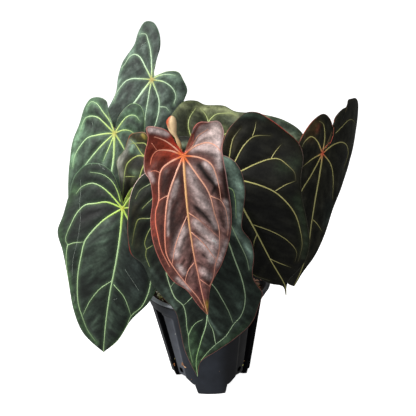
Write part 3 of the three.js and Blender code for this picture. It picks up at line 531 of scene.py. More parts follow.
# What a leaf's look has unless it says otherwise. quilt is how far the skin swells between the veins, and
# width is half the midrib's. pleat, ripple and calm are the streaks' size, the strength of the light and dark
# they paint into the colour, and how much of it is lost near the notch. That paint is partly the blade's own
# mottling and partly painted shade in the streaks' hollows and painted highlight on their rises. A vein goes
# from the tone root to the tone vein over root_reach, and fade is how much of halo its end takes. light, pale
# and lit are tones of painted highlight and sheen, and dark is a tone of painted shade.
PLAIN_LOOK = dict(
    root_reach=42, fade=0.4, ripple=1.2, calm=0, margin_size=0.42, pale=(206, 186, 181), red=(166, 46, 26),
    inner=(96, 36, 26), plum=(100, 58, 62), gold=(130, 110, 40), olive=(44, 39, 21), green=(64, 90, 58),
    teal=(66, 86, 74), sage=(94, 102, 66),
)
LOOKS = {
    "top_left": dict(
        kind="green", quilt=2.0, width=1.3, root_reach=18, face=(70, 82, 74), halo=(104, 128, 104),
        vein=(212, 240, 202), root=(206, 232, 160), margin=(96, 122, 100), back=(92, 112, 84),
        light=(120, 146, 126), dark=(34, 42, 38),
    ),
    "middle_left": dict(
        kind="green", quilt=2.0, width=1.3, face=(64, 80, 66), halo=(100, 130, 96), vein=(204, 238, 184),
        root=(208, 234, 138), margin=(100, 134, 98), back=(92, 112, 84), light=(112, 142, 116),
        dark=(34, 42, 36), green=(104, 134, 106), notch=(156, 116, 88),
    ),
    "low_left": dict(
        kind="green", quilt=2.0, width=1.3, margin_size=0.46, pleat=0.2, face=(36, 46, 38),
        halo=(72, 94, 68), vein=(184, 216, 158), root=(200, 236, 108), margin=(62, 86, 60),
        back=(92, 112, 84), light=(80, 98, 82), dark=(12, 14, 13), notch=(176, 206, 70),
    ),
    "front": dict(
        kind="deep", quilt=1.6, width=1.2, pleat=0.18, face=(34, 43, 37), halo=(54, 68, 54),
        vein=(178, 204, 162), root=(182, 204, 128), margin=(136, 84, 74), back=(96, 112, 84),
        light=(136, 162, 146), dark=(10, 12, 8), green=(60, 84, 58), olive=(33, 30, 15),
        notch=(150, 110, 90),
    ),
    "inner_left": dict(
        kind="olive", quilt=1.6, width=1.1, face=(44, 44, 26), halo=(66, 70, 38), vein=(172, 188, 112),
        root=(180, 192, 104), margin=(120, 124, 92), back=(88, 96, 66), light=(134, 134, 124),
        dark=(17, 18, 10), sage=(80, 96, 74), lit=(120, 148, 124), gold=(128, 112, 40),
        notch=(200, 110, 60),
    ),
    "bronze": dict(
        kind="bronze", quilt=2.4, width=1.35, root_reach=10, margin_size=0.5, pleat=0.32, ripple=0.85,
        calm=0.6, fade=0.1, face=(74, 41, 35), halo=(110, 58, 49), vein=(240, 178, 150),
        root=(236, 120, 60), margin=(176, 98, 84), back=(120, 62, 48), light=(222, 203, 200),
        dark=(13, 6, 5), lip=(240, 92, 76), midrib=(238, 182, 122), notch=(226, 52, 30),
    ),
    "back_right": dict(
        kind="olive", quilt=1.7, width=1.2, ripple=1.4, face=(74, 80, 57), halo=(100, 108, 70),
        vein=(206, 220, 146), root=(206, 220, 124), margin=(92, 104, 72), back=(88, 100, 68),
        light=(150, 156, 114), dark=(24, 26, 18),
    ),
    "right": dict(
        kind="black", quilt=1.6, width=1.15, fade=0.95, pleat=0.16, face=(21, 21, 16), halo=(40, 39, 24),
        vein=(202, 196, 124), root=(206, 200, 120), margin=(48, 46, 32), back=(80, 70, 48),
        light=(44, 50, 38), dark=(12, 12, 10), green=(42, 54, 38), lit=(120, 130, 108),
        notch=(120, 90, 60),
    ),
    "far_right": dict(
        kind="black", quilt=1.6, width=1.1, margin_size=0.6, fade=0.8, face=(33, 33, 26),
        halo=(56, 55, 36), vein=(206, 200, 128), root=(206, 196, 120), margin=(50, 46, 34),
        back=(80, 70, 48), light=(60, 66, 52), dark=(16, 16, 13), teal=(44, 56, 52), olive=(72, 56, 32),
    ),
}
LOOKS = {name: {key: srgb(*value) if isinstance(value, tuple) else value
                for key, value in {**PLAIN_LOOK, **look}.items()} for name, look in LOOKS.items()}

# ---- blades

ROWS, COLUMNS, SPINE_POINTS, MARGIN_POINTS = 190, 36, 400, 170
MERGE_GRID = 1000  # points of the flat blade in one such part of a millimetre are the same
HALF, THINNED = 0.42, 0.14  # half the blade's thickness, and what its edge loses of that
VEIN_STEP, STROKE_STEP, NOTCH_START = 1.2, 0.8, 6
VALLEY, GLOW = 4.2, 2.1  # how far a vein's valley and its paler skin reach
# Half widths at a vein's root and end, as shares of the leaf's own
MIDRIB_SHARES, MAIN_SHARES, BRANCH_SHARES = (1.15, 0.4), (0.85, 0.34), (0.46, 0.26)
MIDRIB_START, MIDRIB_POINTS, VEIN_SIDES, TRIM_SIDES = (0, 2), 150, 8, 6


def axes_of(leaf):
    """The blade's own x, y and face directions in the plant."""
    yaw, pitch, roll = (math.radians(leaf[k]) for k in ("yaw", "pitch", "roll"))
    face = np.array([math.sin(yaw) * math.cos(pitch), -math.cos(yaw) * math.cos(pitch), math.sin(pitch)])
    level = np.array([math.cos(yaw), math.sin(yaw), 0])
    up = np.cross(face, level)
    return level * math.cos(roll) + up * math.sin(roll), up * math.cos(roll) - level * math.sin(roll), face


def blade_height(leaf, xy, t, out, side):
    """How far the blade's own bends raise each flat point toward its face."""
    length = -leaf["spine"][-1][1]
    down = -xy[:, 1]
    s = np.clip(down / length, 0, 1.05)
    spine = np.array(leaf["spine"], float)
    off = xy[:, 0] - np.interp(down, -spine[:, 1], spine[:, 0])
    lift = np.where(side < 0, value_along(leaf["lift_left"], t), value_along(leaf["lift_right"], t))
    lobe = (np.maximum(xy[:, 1], 0) / LOBE_REACH) ** 2
    return (4 * leaf["belly"] * s * (1 - s) - leaf["droop"] * s**2 - leaf["lobe"] * lobe
            - leaf["arch"] * (off / ARCH_REACH) ** 2 + lift * out**2.5)


def sinus_of(leaf):
    """The bottom of the notch between the lobes."""
    return 0, leaf.get("sinus", SINUS)


def flat_sheet(leaf):
    """Points of the flat blade in rows from the notch to the tip, merged where the halves meet."""
    spine = curve_through(leaf["spine"], SPINE_POINTS)
    grid = np.meshgrid(np.linspace(0, 1, ROWS + 1), np.linspace(0, 1, COLUMNS + 1), indexing="ij")
    t, out = (g.ravel() for g in grid)
    share = np.clip((t - FAN_END) / (1 - FAN_END), 0, 1) ** INWARD
    inner = spine[np.round(share * (SPINE_POINTS - 1)).astype(int)]
    places, squares = [], []
    for side, key in ((-1, "left"), (1, "right")):
        margin = curve_through([sinus_of(leaf), *leaf[key], leaf["spine"][-1]], ROWS + 1)
        xy = inner + (np.repeat(margin, COLUMNS + 1, axis=0) - inner) * out[:, None]
        places.append(np.c_[xy, t, out, np.full(len(t), side)])
        a = (np.arange(ROWS)[:, None] * (COLUMNS + 1) + np.arange(COLUMNS)).ravel() + len(t) * (side > 0)
        b, c, d = a + COLUMNS + 1, a + COLUMNS + 2, a + 1
        turn = np.r_[np.c_[a, b, c], np.c_[a, c, d]]
        squares.append(turn if side > 0 else turn[:, ::-1])
    places = np.vstack(places)
    key = np.round(places[:, :2] * MERGE_GRID).astype(np.int64)
    _, first, number = np.unique(key, axis=0, return_index=True, return_inverse=True)
    triangles = number.ravel()[np.vstack(squares)]
    a, b, c = triangles.T
    return places[first], triangles[(a != b) & (b != c) & (c != a)]


def vein_lines(leaf, look):
    """Every vein, the midrib first, as flat points, half widths and weight."""
    lines = []
    for points in ((MIDRIB_START, *leaf["spine"]), *leaf["veins"]):
        flat = np.array(points, float)
        length = np.linalg.norm(np.diff(flat, axis=0), axis=1).sum()
        main = np.hypot(*flat[0]) < NOTCH_START
        start, end = MAIN_SHARES if main else BRANCH_SHARES
        count = max(6, int(length / VEIN_STEP))
        if not lines:
            (start, end), count = MIDRIB_SHARES, MIDRIB_POINTS
        run = np.linspace(0, 1, count)
        width = look["width"] * (start + (end - start) * run**0.8)
        lines.append((curve_through(points, count), width, 1.0 if main else 0.5))
    return lines


def gap_to(xy, line):
    """How far each flat point is from the nearest point of a line."""
    gap = np.full(len(xy), np.inf)
    for spot in line:
        gap = np.minimum(gap, np.hypot(*(xy - spot).T))
    return gap


def nearest_vein(xy, lines):
    """For each flat point, how deep it lies in a vein's valley, and how near it is to a vein's edge."""
    valley, glow = np.zeros(len(xy)), np.zeros(len(xy))
    for line, _, weight in lines:
        gap = gap_to(xy, line)
        valley = np.maximum(valley, weight * np.exp(-(gap / VALLEY) ** 2))
        glow = np.maximum(glow, (0.4 + 0.6 * weight) * np.exp(-(gap / GLOW) ** 2))
    return valley, glow


def nearness(xy, points, width):
    """1 on a soft line through the points, fading to 0 away from it."""
    length = np.linalg.norm(np.diff(np.array(points, float), axis=0), axis=1).sum()
    gap = gap_to(xy, curve_through(points, int(length / STROKE_STEP) + 4))
    return np.exp(-(gap / width) ** 2)


class Sheet:
    """A blade's middle surface, which veins and margins are laid on."""

    def __init__(self, name, seed):
        leaf, look = LEAVES[name], LOOKS[name]
        self.places, self.triangles = flat_sheet(leaf)
        xy, t, out, side = self.places[:, :2], *self.places[:, 2:].T
        self.lines = vein_lines(leaf, look)
        valley, self.glow = nearest_vein(xy, self.lines)
        self.flat = np.c_[xy, np.zeros(len(xy))]
        x, y = np.abs(xy[:, 0]), xy[:, 1]
        grain = self.flat * (1, 0.45, 1)
        if "pleat" in look:  # pleats that run outward and down from the midrib
            grain = np.c_[(x + y) * 0.7, (x - y) * 0.24, xy[:, 0] * 0.1]
        self.streaks = noisy(grain, look.get("pleat", 0.17), 3, seed)
        self.strokes = [(nearness(xy, line, width), tone, rise, strength)
                        for tone, width, rise, strength, line in STROKES.get(name, ())]
        folds = sum(near * rise for near, _, rise, _ in self.strokes)
        swell = (1 - valley) * (1 - out**7) * smoothstep(np.hypot(*xy.T), 2, 22)
        rise = swell * (look["quilt"] + 0.45 * self.streaks + folds)
        height = blade_height(leaf, xy, t, out, side) + rise
        ex, ey, face = axes_of(leaf)
        at = np.array(leaf["at"], float)
        self.points = at + xy[:, :1] * ex + xy[:, 1:2] * ey + height[:, None] * face
        self.normals = vertex_normals(self.points, self.triangles)
        self.tree = BVHTree.FromPolygons(self.flat.tolist(), self.triangles.tolist())

    def on(self, xy):
        """Where flat points lie on the surface, and the surface's direction there."""
        where, facing = [], []
        for x, y in xy:
            spot, _, index, _ = self.tree.find_nearest(Vector((x, y, 0)))
            corners = self.triangles[index]
            flat = [Vector(self.flat[i]) for i in corners]
            where.append(barycentric_transform(spot, *flat, *[Vector(self.points[i]) for i in corners]))
            facing.append(barycentric_transform(spot, *flat, *[Vector(self.normals[i]) for i in corners]))
        facing = np.array(facing)
        return np.array(where), facing / np.linalg.norm(facing, axis=1, keepdims=True)


def solid_sheet(points, normals, triangles, half):
    """The sheet with both faces and a rim. The first half of the points is the front."""
    count = len(points)
    both = np.vstack([points + normals * half[:, None], points - normals * half[:, None]])
    edges = np.vstack([triangles[:, [0, 1]], triangles[:, [1, 2]], triangles[:, [2, 0]]])
    code, back = edges[:, 0] * count + edges[:, 1], edges[:, 1] * count + edges[:, 0]
    a, b = edges[~np.isin(code, back)].T
    rim = [np.c_[b, a, a + count], np.c_[b, a + count, b + count]]
    return both, np.vstack([triangles, triangles[:, ::-1] + count, *rim])


def laid_tube(where, facing, widths, depths, sides):
    """A tube along a line that lies on a surface, whose direction there is facing."""
    along = np.gradient(where, axis=0)
    along /= np.maximum(np.linalg.norm(along, axis=1, keepdims=True), 1e-9)
    sideways = np.cross(facing, along)
    sideways /= np.maximum(np.linalg.norm(sideways, axis=1, keepdims=True), 1e-9)
    return tube(where, sideways, facing, widths, depths, sides)


def spotted(colour, xy, spots):
    """colour with soft oval spots of other tones, each (middle, reach, tone, strength)."""
    for (x, y), (wide, tall), tone, strength in spots:
        near = np.exp(-(((xy[:, 0] - x) / wide) ** 2 + ((xy[:, 1] - y) / tall) ** 2))
        colour = mix(colour, srgb(*tone), near * strength)
    return colour


def paint(name, look, sheet):
    """The blade's front and back colours at each point of its sheet."""
    xy, out = sheet.places[:, :2], sheet.places[:, 3]
    clouds = 1 + 0.15 * noisy(sheet.flat, 0.035, 3, 3.0 + len(name))
    # the spots and strokes: the blade's own tones, painted highlights and painted shade
    colour = spotted(np.broadcast_to(look["face"], (len(xy), 3)), xy, SPOTS.get(name, ()))
    for near, tone, _, strength in sheet.strokes:
        colour = mix(colour, look[tone], near * strength)
    # the streaks darken and lighten the colour: the blade's own mottling, with painted shade in their hollows
    # and painted highlight on their rises
    ripple = np.clip(sheet.streaks, -0.6, 0.6) * look["ripple"] * (1 - 0.7 * sheet.glow)
    ripple = ripple * (1 - look["calm"] * smoothstep(xy[:, 1], -60, -10))
    colour = colour * np.exp(ripple)[:, None]
    colour = mix(colour, colour + look["halo"] - look["face"], np.clip(sheet.glow, 0, 1) * 0.85)
    colour = mix(colour, look["halo"], smoothstep(out, 0.92, 1.0) * 0.4)
    back = mix(look["back"], look["vein"] * 0.8, np.clip(sheet.glow, 0, 1) * 0.6)
    return colour * clouds[:, None], back * clouds[:, None]


# Folds in the blades, with painted light and shade: tone, half width, rise, strength, then the line they
# follow.
# The light, pale and lit strokes are painted highlights and sheen. The lip stroke is the notch rim's own red
# with a painted highlight. The dark ones are painted shade in hollows and creases, and the other tones change
# the blade's own colour.
STROKES = {
    "bronze": (
        ("light", 2.6, 0, 0.85, ((-26, 28), (-20, 26), (-12, 22))),
        ("inner", 3, 0, 0.5, ((-14, 17), (-6, 7))),
        ("red", 2.6, 0, 0.75, ((-8, 17), (-4, 9), (-1, 2))),
        ("lip", 1.2, 0.3, 0.95, ((9.5, 11), (6, 6), (1, 1))),
        ("inner", 1.3, -0.4, 0.9, ((25, 26), (18, 25.5), (13, 20), (10, 13))),
        ("light", 2.6, 0.3, 0.5, ((22, 20), (17, 14), (12, 8))),
        ("pale", 6.5, 0.5, 0.95, ((34, 23), (29, 15), (24, 9))),
        ("light", 3.5, 0.5, 0.8, ((33, 9), (31, 1), (31, -14))),
        ("dark", 2.4, -1.2, 0.95, ((36, 4), (35, -8), (33.5, -28), (33, -47))),
        ("light", 0.9, 0.5, 0.85, ((38, 2), (37, -10), (36.5, -26))),
        ("dark", 3.0, -1.7, 0.98, ((13, -11), (18, -22), (24, -30), (28, -42))),
        ("dark", 1.8, -1, 0.9, ((25, -22), (24, -31), (20, -37))),
        ("light", 2.2, 1.1, 0.95, ((18, -10), (23, -18), (26, -28))),
        ("dark", 1.2, -0.7, 0.7, ((8, -84), (15, -92))),
        ("dark", 1.1, -0.6, 0.7, ((3, -90), (10, -99))),
        ("dark", 1.1, -0.5, 0.7, ((-14, -92), (-19, -99))),
        ("light", 3.2, 0.6, 0.5, ((8, 5), (18, 5), (29, -1))),
        ("dark", 1.6, -0.5, 0.5, ((20, -1), (29, -5))),
        ("light", 4.6, 0.8, 0.5, ((4, -14), (7, -32), (11, -46))),
        ("dark", 2.8, -1.6, 0.95, ((4, -47), (12, -58), (19, -71))),
        ("dark", 1.5, -1, 0.95, ((32.5, -48), (33, -58), (32.5, -70))),
        ("light", 2.2, 0.5, 0.6, ((12, -76), (17, -86))),
        ("light", 2.8, 0.6, 0.45, ((13, -45), (17, -58), (19, -68))),
        ("light", 3, 0.8, 0.7, ((1, -60), (9, -72), (17, -82))),
        ("dark", 1.5, -0.7, 0.6, ((-2, -67), (7, -77), (11, -82))),
        ("light", 4, 0.6, 0.7, ((2, -79), (9, -87), (11, -96))),
        ("dark", 1.6, -0.8, 0.7, ((-3, -97), (5, -104))),
        ("dark", 1.6, -0.6, 0.7, ((0, -112), (5, -119))),
        ("light", 2.8, 0.3, 0.5, ((0, -105), (6, -112))),
        ("light", 2.4, 0.4, 0.5, ((31, -48), (31, -61), (30, -71))),
        ("dark", 2, -0.8, 0.7, ((24, -55), (26, -68))),
        ("light", 3, 0.4, 0.5, ((26, -85), (21, -94), (15, -102))),
        ("dark", 3.4, -0.6, 0.65, ((-19, -15), (-24, -27))),
        ("dark", 3.6, -1, 0.6, ((-5, -11), (-11, -24), (-15, -40), (-20, -59), (-21, -76))),
        ("light", 1.2, 0.5, 0.3, ((-18, -37), (-22, -51), (-25, -67))),
        ("light", 2.4, 0.3, 0.3, ((-10, -22), (-15, -33))),
        ("light", 3.5, 0.6, 0.6, ((-10, -64), (-16, -74), (-21, -86))),
        ("dark", 1.6, -0.6, 0.6, ((-11, -73), (-17, -84))),
        ("dark", 2.4, -1, 0.8, ((-6, -88), (-11, -100), (-16, -111))),
        ("light", 2.4, 0.3, 0.5, ((-20, -97), (-16, -104))),
        ("light", 2.4, 0.2, 0.5, ((-32, -11), (-31, -17))),
        ("red", 2, 0, 0.3, ((-32, -31), (-36, -45), (-37, -66))),
        ("dark", 2, -0.4, 0.5, ((-30, -60), (-31, -78), (-28, -92))),
        ("light", 2, 0.2, 0.45, ((-23, -109), (-14, -121))),
        ("plum", 3, 0, 0.6, ((-6, -120), (-2, -131))),
        ("gold", 2.6, 0, 0.85, ((0, -137), (0, -146))),
        ("inner", 5, 0, 0.5, ((-24, 15), (-27, 4))),
    ),
    "front": (
        ("light", 7.5, 0.6, 0.8, ((40, 23), (46, 8), (51, -9), (51, -27), (47, -41))),
        ("light", 1.2, 0.3, 0.16, ((10, -118), (16, -134), (24, -148))),
        ("light", 3, 0.3, 0.1, ((44, -118), (41, -132), (34, -142))),
        ("light", 3.4, 0.4, 0.55, ((43, -45), (52, -54), (57, -68))),
        ("light", 3, 0.3, 0.6, ((53, -61), (58, -70), (58, -81))),
        # painted shadow that the bronze leaf's edge casts on this lobe, over a slight hollow
        ("dark", 4, -0.8, 0.7, ((37, 8), (40, -15), (41, -39))),
        ("olive", 6, 0, 0.7, ((-52, -8), (-54, -28), (-55, -54))),
        ("dark", 5, -0.6, 0.6, ((-40, -21), (-41, -41))),
        ("dark", 4, -0.4, 0.5, ((-41, -4), (-48, -12))),
        ("green", 6, 0.3, 0.6, ((23, -163), (37, -155), (53, -145))),
        ("green", 5, 0, 0.7, ((-3, -144), (-2, -163), (-3, -180))),
        ("dark", 8, -0.8, 0.5, ((24, -104), (31, -117))),
        ("light", 2.2, 0.3, 0.12, ((-38, -80), (-27, -96), (-18, -117))),
        ("dark", 4, -0.5, 0.8, ((-31, -14), (-37, -24), (-36, -44))),
        ("dark", 3, -0.3, 0.7, ((-54, -20), (-55, -40))),
        ("dark", 7, -0.6, 0.6, ((-33, -74), (-28, -85))),
        ("dark", 5, 0, 0.7, ((-44, -32), (-45, -52))),
        ("dark", 3, -0.2, 0.6, ((-50, -4), (-53, -16))),
    ),
    "low_left": (
        ("dark", 5, -1.2, 0.85, ((-11, -3), (-25, -9), (-39, -17))),
        ("dark", 5.5, -0.6, 0.55, ((-46, -36), (-35, -30))),
        ("dark", 5, -0.5, 0.5, ((-21, 24), (-42, 22))),
        ("dark", 4.5, -0.6, 0.5, ((-26, 11), (-42, 3))),
        ("green", 3.6, 0.3, 0.65, ((-62, -26), (-60, -40), (-53, -57), (-45, -80), (-36, -111),
                                 (-24, -132), (-8, -146))),
        ("green", 4.5, 0.2, 0.6, ((-53, 8), (-57, -7))),
        ("green", 4.5, 0.2, 0.7, ((28, -107), (19, -129), (8, -146))),
        ("dark", 7, -0.6, 0.5, ((-20, -96), (-26, -82))),
        ("light", 2.4, 0.5, 0.4, ((-14, -129), (-8, -113))),
        ("light", 2.6, 0.5, 0.45, ((4, -107), (4, -124))),
        ("light", 6, 0.4, 0.35, ((-11, -16), (-15, -40), (-17, -57))),
        ("dark", 7, -0.5, 0.45, ((29, -67), (18, -74), (12, -91))),
        ("dark", 4, -0.4, 0.5, ((-15, -73), (-24, -94))),
    ),
    "middle_left": (
        ("green", 6.5, 0.4, 0.8, ((-30, 25), (-35, 13), (-39, -3), (-40, -19), (-37, -39))),
        ("dark", 4.5, -0.7, 0.85, ((-25, 16), (-16, 8))),
        ("dark", 4.5, -0.7, 0.8, ((-32, 2), (-17, -1))),
        ("dark", 5, -0.5, 0.7, ((-29, -19), (-34, -29))),
        ("green", 4.5, 0.3, 0.6, ((7, 23), (16, 28))),
        ("green", 5, 0.3, 0.4, ((9, 6), (16, 3))),
        ("dark", 4, -0.4, 0.6, ((-13, -18), (-19, -28))),
        ("dark", 3, -0.5, 0.6, ((10, 18), (18, 16))),
        ("dark", 3, -0.3, 0.5, ((-25, 6), (-30, 12))),
    ),
    "top_left": (
        ("light", 4.6, 0.4, 0.75, ((-46, 32), (-40, 14), (-39, 0), (-36, -12), (-25, -29), (-19, -45))),
        ("dark", 3, -0.6, 0.6, ((-36, -3), (-29, -13))),
        ("dark", 3.4, -0.7, 0.6, ((-24, 7), (-12, 3))),
        ("dark", 2.6, -0.5, 0.5, ((-27, 0), (-16, -4))),
        ("dark", 3.4, -0.5, 0.5, ((-40, 39), (-33, 27))),
        ("dark", 3, -0.5, 0.75, ((-23, 36), (-14, 26))),
        ("dark", 5, -0.6, 0.5, ((-19, -29), (-14, -43), (-12, -54))),
        ("dark", 3, -0.4, 0.45, ((-14, -19), (-10, -29))),
        ("light", 4.5, 0.4, 0.5, ((3, 5), (10, 15), (23, 16))),
        ("light", 4.5, 0.3, 0.4, ((7, -36), (24, -22))),
        ("dark", 3, -0.4, 0.75, ((28, 17), (36, 11))),
    ),
    "inner_left": (
        ("light", 5, 0.4, 0.95, ((-23, 7), (-28, -5), (-31, -15), (-25, -30))),
        ("lit", 3.6, 0.2, 0.85, ((-19, 9), (-19, 2), (-12, 3))),
        ("olive", 3, 0, 0.8, ((-20, 16), (-10, 18))),
        ("gold", 2, 0, 0.7, ((-10, 21), (-6, 19))),
        ("dark", 3, -0.4, 0.8, ((-10, 11), (-4, 13))),
        ("dark", 4.5, -0.6, 0.85, ((-13, -5), (-7, -8), (-5, -12))),
        ("sage", 3.4, 0.3, 0.75, ((-5, -18), (-14, -18))),
        ("dark", 3.4, -0.2, 0.5, ((-12, -32), (-10, -48))),
        ("light", 2.8, 0, 0.7, ((-21, -30), (-20, -44), (-17, -58))),
    ),
    "back_right": (
        ("light", 5.5, 0.3, 0.85, ((42, 9), (47, -3), (47, -16), (45, -27))),
        ("sage", 4.5, 0.2, 0.7, ((35, -1), (32, -17), (26, -21))),
        ("dark", 4, -0.5, 0.7, ((40, 24), (36, 16), (34, 8))),
        ("dark", 3.5, -0.3, 0.6, ((38, -8), (30, -12), (22, -8))),
        ("dark", 5, -0.5, 0.6, ((28, 26), (19, 25), (12, 18))),
        ("teal", 5, 0.2, 0.75, ((54, -60), (55, -77), (50, -91))),
        ("light", 3.4, 0.1, 0.4, ((34, 34), (42, 27))),
    ),
    "right": (
        ("teal", 3, 0.3, 0.75, ((37, 49), (49, 45), (58, 37))),
        ("olive", 8, 0.2, 0.6, ((20, 40), (18, 28))),
        ("green", 6, 0.3, 0.7, ((53, -51), (50, -71), (45, -91), (37, -102))),
        ("dark", 13, -0.6, 0.6, ((37, 13), (38, -4))),
        ("dark", 13, -0.6, 0.5, ((20, -40), (21, -60))),
        ("lit", 2.4, 0, 0.8, ((-26, 47), (-22, 47))),
        ("green", 7, 0.2, 0.5, ((54, -15), (67, -18))),
    ),
    "far_right": (
        ("olive", 6, 0.2, 0.75, ((-15, 29), (-20, 16))),
        ("inner", 2.6, 0, 0.4, ((-10, 28), (-13, 22))),
        ("dark", 9, -0.5, 0.6, ((29, 5), (25, -9))),
        ("teal", 8, 0, 0.4, ((16, -54), (18, -68))),
    ),
}

# Soft spots on the blades, veins and margins: middle, reach, tone and strength. Some are the leaf's own tone
# and some are painted highlights and painted shade, such as the pale grey-pink spots on the bronze blade and
# rim and the near-black panels on the front blade.
SPOTS = {
    "bronze": (
        ((-26, 12), (14, 18), (112, 42, 26), 0.85), ((-35, -22), (6, 16), (136, 54, 36), 0.7),
        ((-33, -62), (8, 34), (78, 38, 29), 0.85), ((-16, 10), (11, 9), (158, 60, 34), 0.65),
        ((15, 15), (8, 9), (140, 118, 114), 0.75), ((12, -42), (7, 12), (150, 130, 128), 0.6),
        ((9, -64), (6, 8), (170, 150, 147), 0.6), ((-12, -79), (6, 9), (140, 110, 105), 0.6),
        ((-18, -62), (5, 14), (44, 26, 22), 0.7), ((28, 18), (14, 12), (176, 152, 148), 0.75),
        ((22, -20), (14, 30), (122, 94, 90), 0.6), ((14, -70), (20, 40), (148, 116, 110), 0.68),
        ((-2, -100), (20, 22), (142, 106, 102), 0.65), ((-8, 6), (7, 9), (190, 60, 28), 0.7),
    ),
    "low_left": (
        ((4, 18), (6, 12), (164, 186, 64), 0.85), ((-28, -11), (18, 8), (15, 19, 16), 0.8),
        ((26, -58), (16, 30), (46, 54, 54), 0.5),
    ),
    "front": (((2, -186), (14, 16), (60, 88, 50), 0.7), ((-46, -22), (22, 52), (29, 28, 14), 0.85)),
    "back_right": (((50, -50), (16, 40), (146, 162, 142), 0.8), ((16, 20), (12, 12), (50, 52, 34), 0.6)),
}
VEIN_SPOTS = {
    "front": (
        ((44, -16), (9, 20), (170, 208, 128), 0.9), ((-46, -40), (18, 60), (138, 142, 54), 0.9),
        ((-57, -50), (9, 18), (62, 58, 28), 0.85), ((-44, -4), (12, 8), (84, 92, 40), 0.6),
        ((0, -165), (10, 34), (150, 196, 116), 0.8),
    ),
    "bronze": (
        ((-34, -50), (9, 60), (226, 96, 60), 0.8), ((-28, 4), (11, 16), (228, 112, 72), 0.8),
        ((0, -142), (8, 14), (206, 150, 84), 0.6), ((10, -65), (9, 13), (112, 74, 66), 0.85),
        ((0, -108), (26, 36), (230, 146, 126), 0.6),
    ),
    "top_left": (((0, 0), (4, 4), (190, 160, 84), 0.9),),
    "middle_left": (((0, 0), (4, 4), (196, 180, 84), 0.8),),
    "low_left": (((0, 0), (3, 3), (200, 190, 60), 0.7),),
    "far_right": (((0, 0), (5, 6), (226, 66, 52), 0.9),),
}
MARGIN_SPOTS = {
    "middle_left": (((18, 26), (18, 18), (176, 210, 158), 0.85),),
    "low_left": (((-38, 22), (34, 20), (132, 170, 130), 0.85),),
    "front": (
        ((-46, 8), (16, 26), (240, 214, 204), 0.95), ((44, 22), (16, 20), (206, 160, 150), 0.9),
        ((-32, -112), (24, 44), (40, 50, 42), 0.95), ((-42, -88), (22, 24), (30, 38, 32), 0.95),
        ((-48, -76), (10, 13), (30, 38, 32), 1), ((-34, -92), (12, 12), (30, 38, 32), 1),
        ((-57, -60), (4, 5), (220, 60, 40), 0.9),
    ),
    "bronze": (
        ((34, 20), (12, 14), (206, 176, 170), 0.9), ((7, 9), (8, 11), (255, 112, 92), 1),
        ((-20, 29), (10, 5), (200, 160, 152), 0.8), ((-35, -10), (5, 12), (206, 170, 160), 0.8),
        ((37, -22), (6, 34), (196, 160, 156), 0.85),
    ),
    "far_right": (((7, 13), (9, 18), (246, 100, 88), 0.98), ((-24, 16), (12, 26), (176, 84, 66), 0.8)),
    "right": (
        ((-30, 50), (16, 14), (20, 22, 16), 0.95), ((64, 26), (16, 26), (196, 66, 48), 0.95),
        ((14, 36), (14, 20), (176, 96, 76), 0.9),
    ),
    "inner_left": (((-16, 21), (12, 6), (150, 110, 88), 0.8), ((-25, 15), (4, 4), (196, 60, 44), 0.9)),
}
# Old scratches: points on the blade
SCRATCHES = {
    "low_left": (
        ((-47, 18), (-45, 6), (-44, -6), (-40, -21), (-40, -42), (-42, -62), (-41, -78)),
        ((-37, -96), (-36, -104), (-40, -112), (-42, -126)), ((-40, 42), (-37, 35)),
        ((-31, 39), (-28, 36)), ((-29, 38), (-26, 38)), ((-26, 35), (-23, 34)), ((-30, -36), (-27, -33)),
        ((5, -92), (8, -90)), ((12, -58), (20, -68), (28, -78)),
    ),
    "top_left": (((2, 42), (1, 38), (3, 36)), ((-2, 40), (0, 36)), ((-30, 26), (-32, 20))),
    "middle_left": (((-27, 4), (-25, 1)), ((-40, 6), (-38, 1))),
}
SCRATCH_TONE = srgb(214, 226, 214)


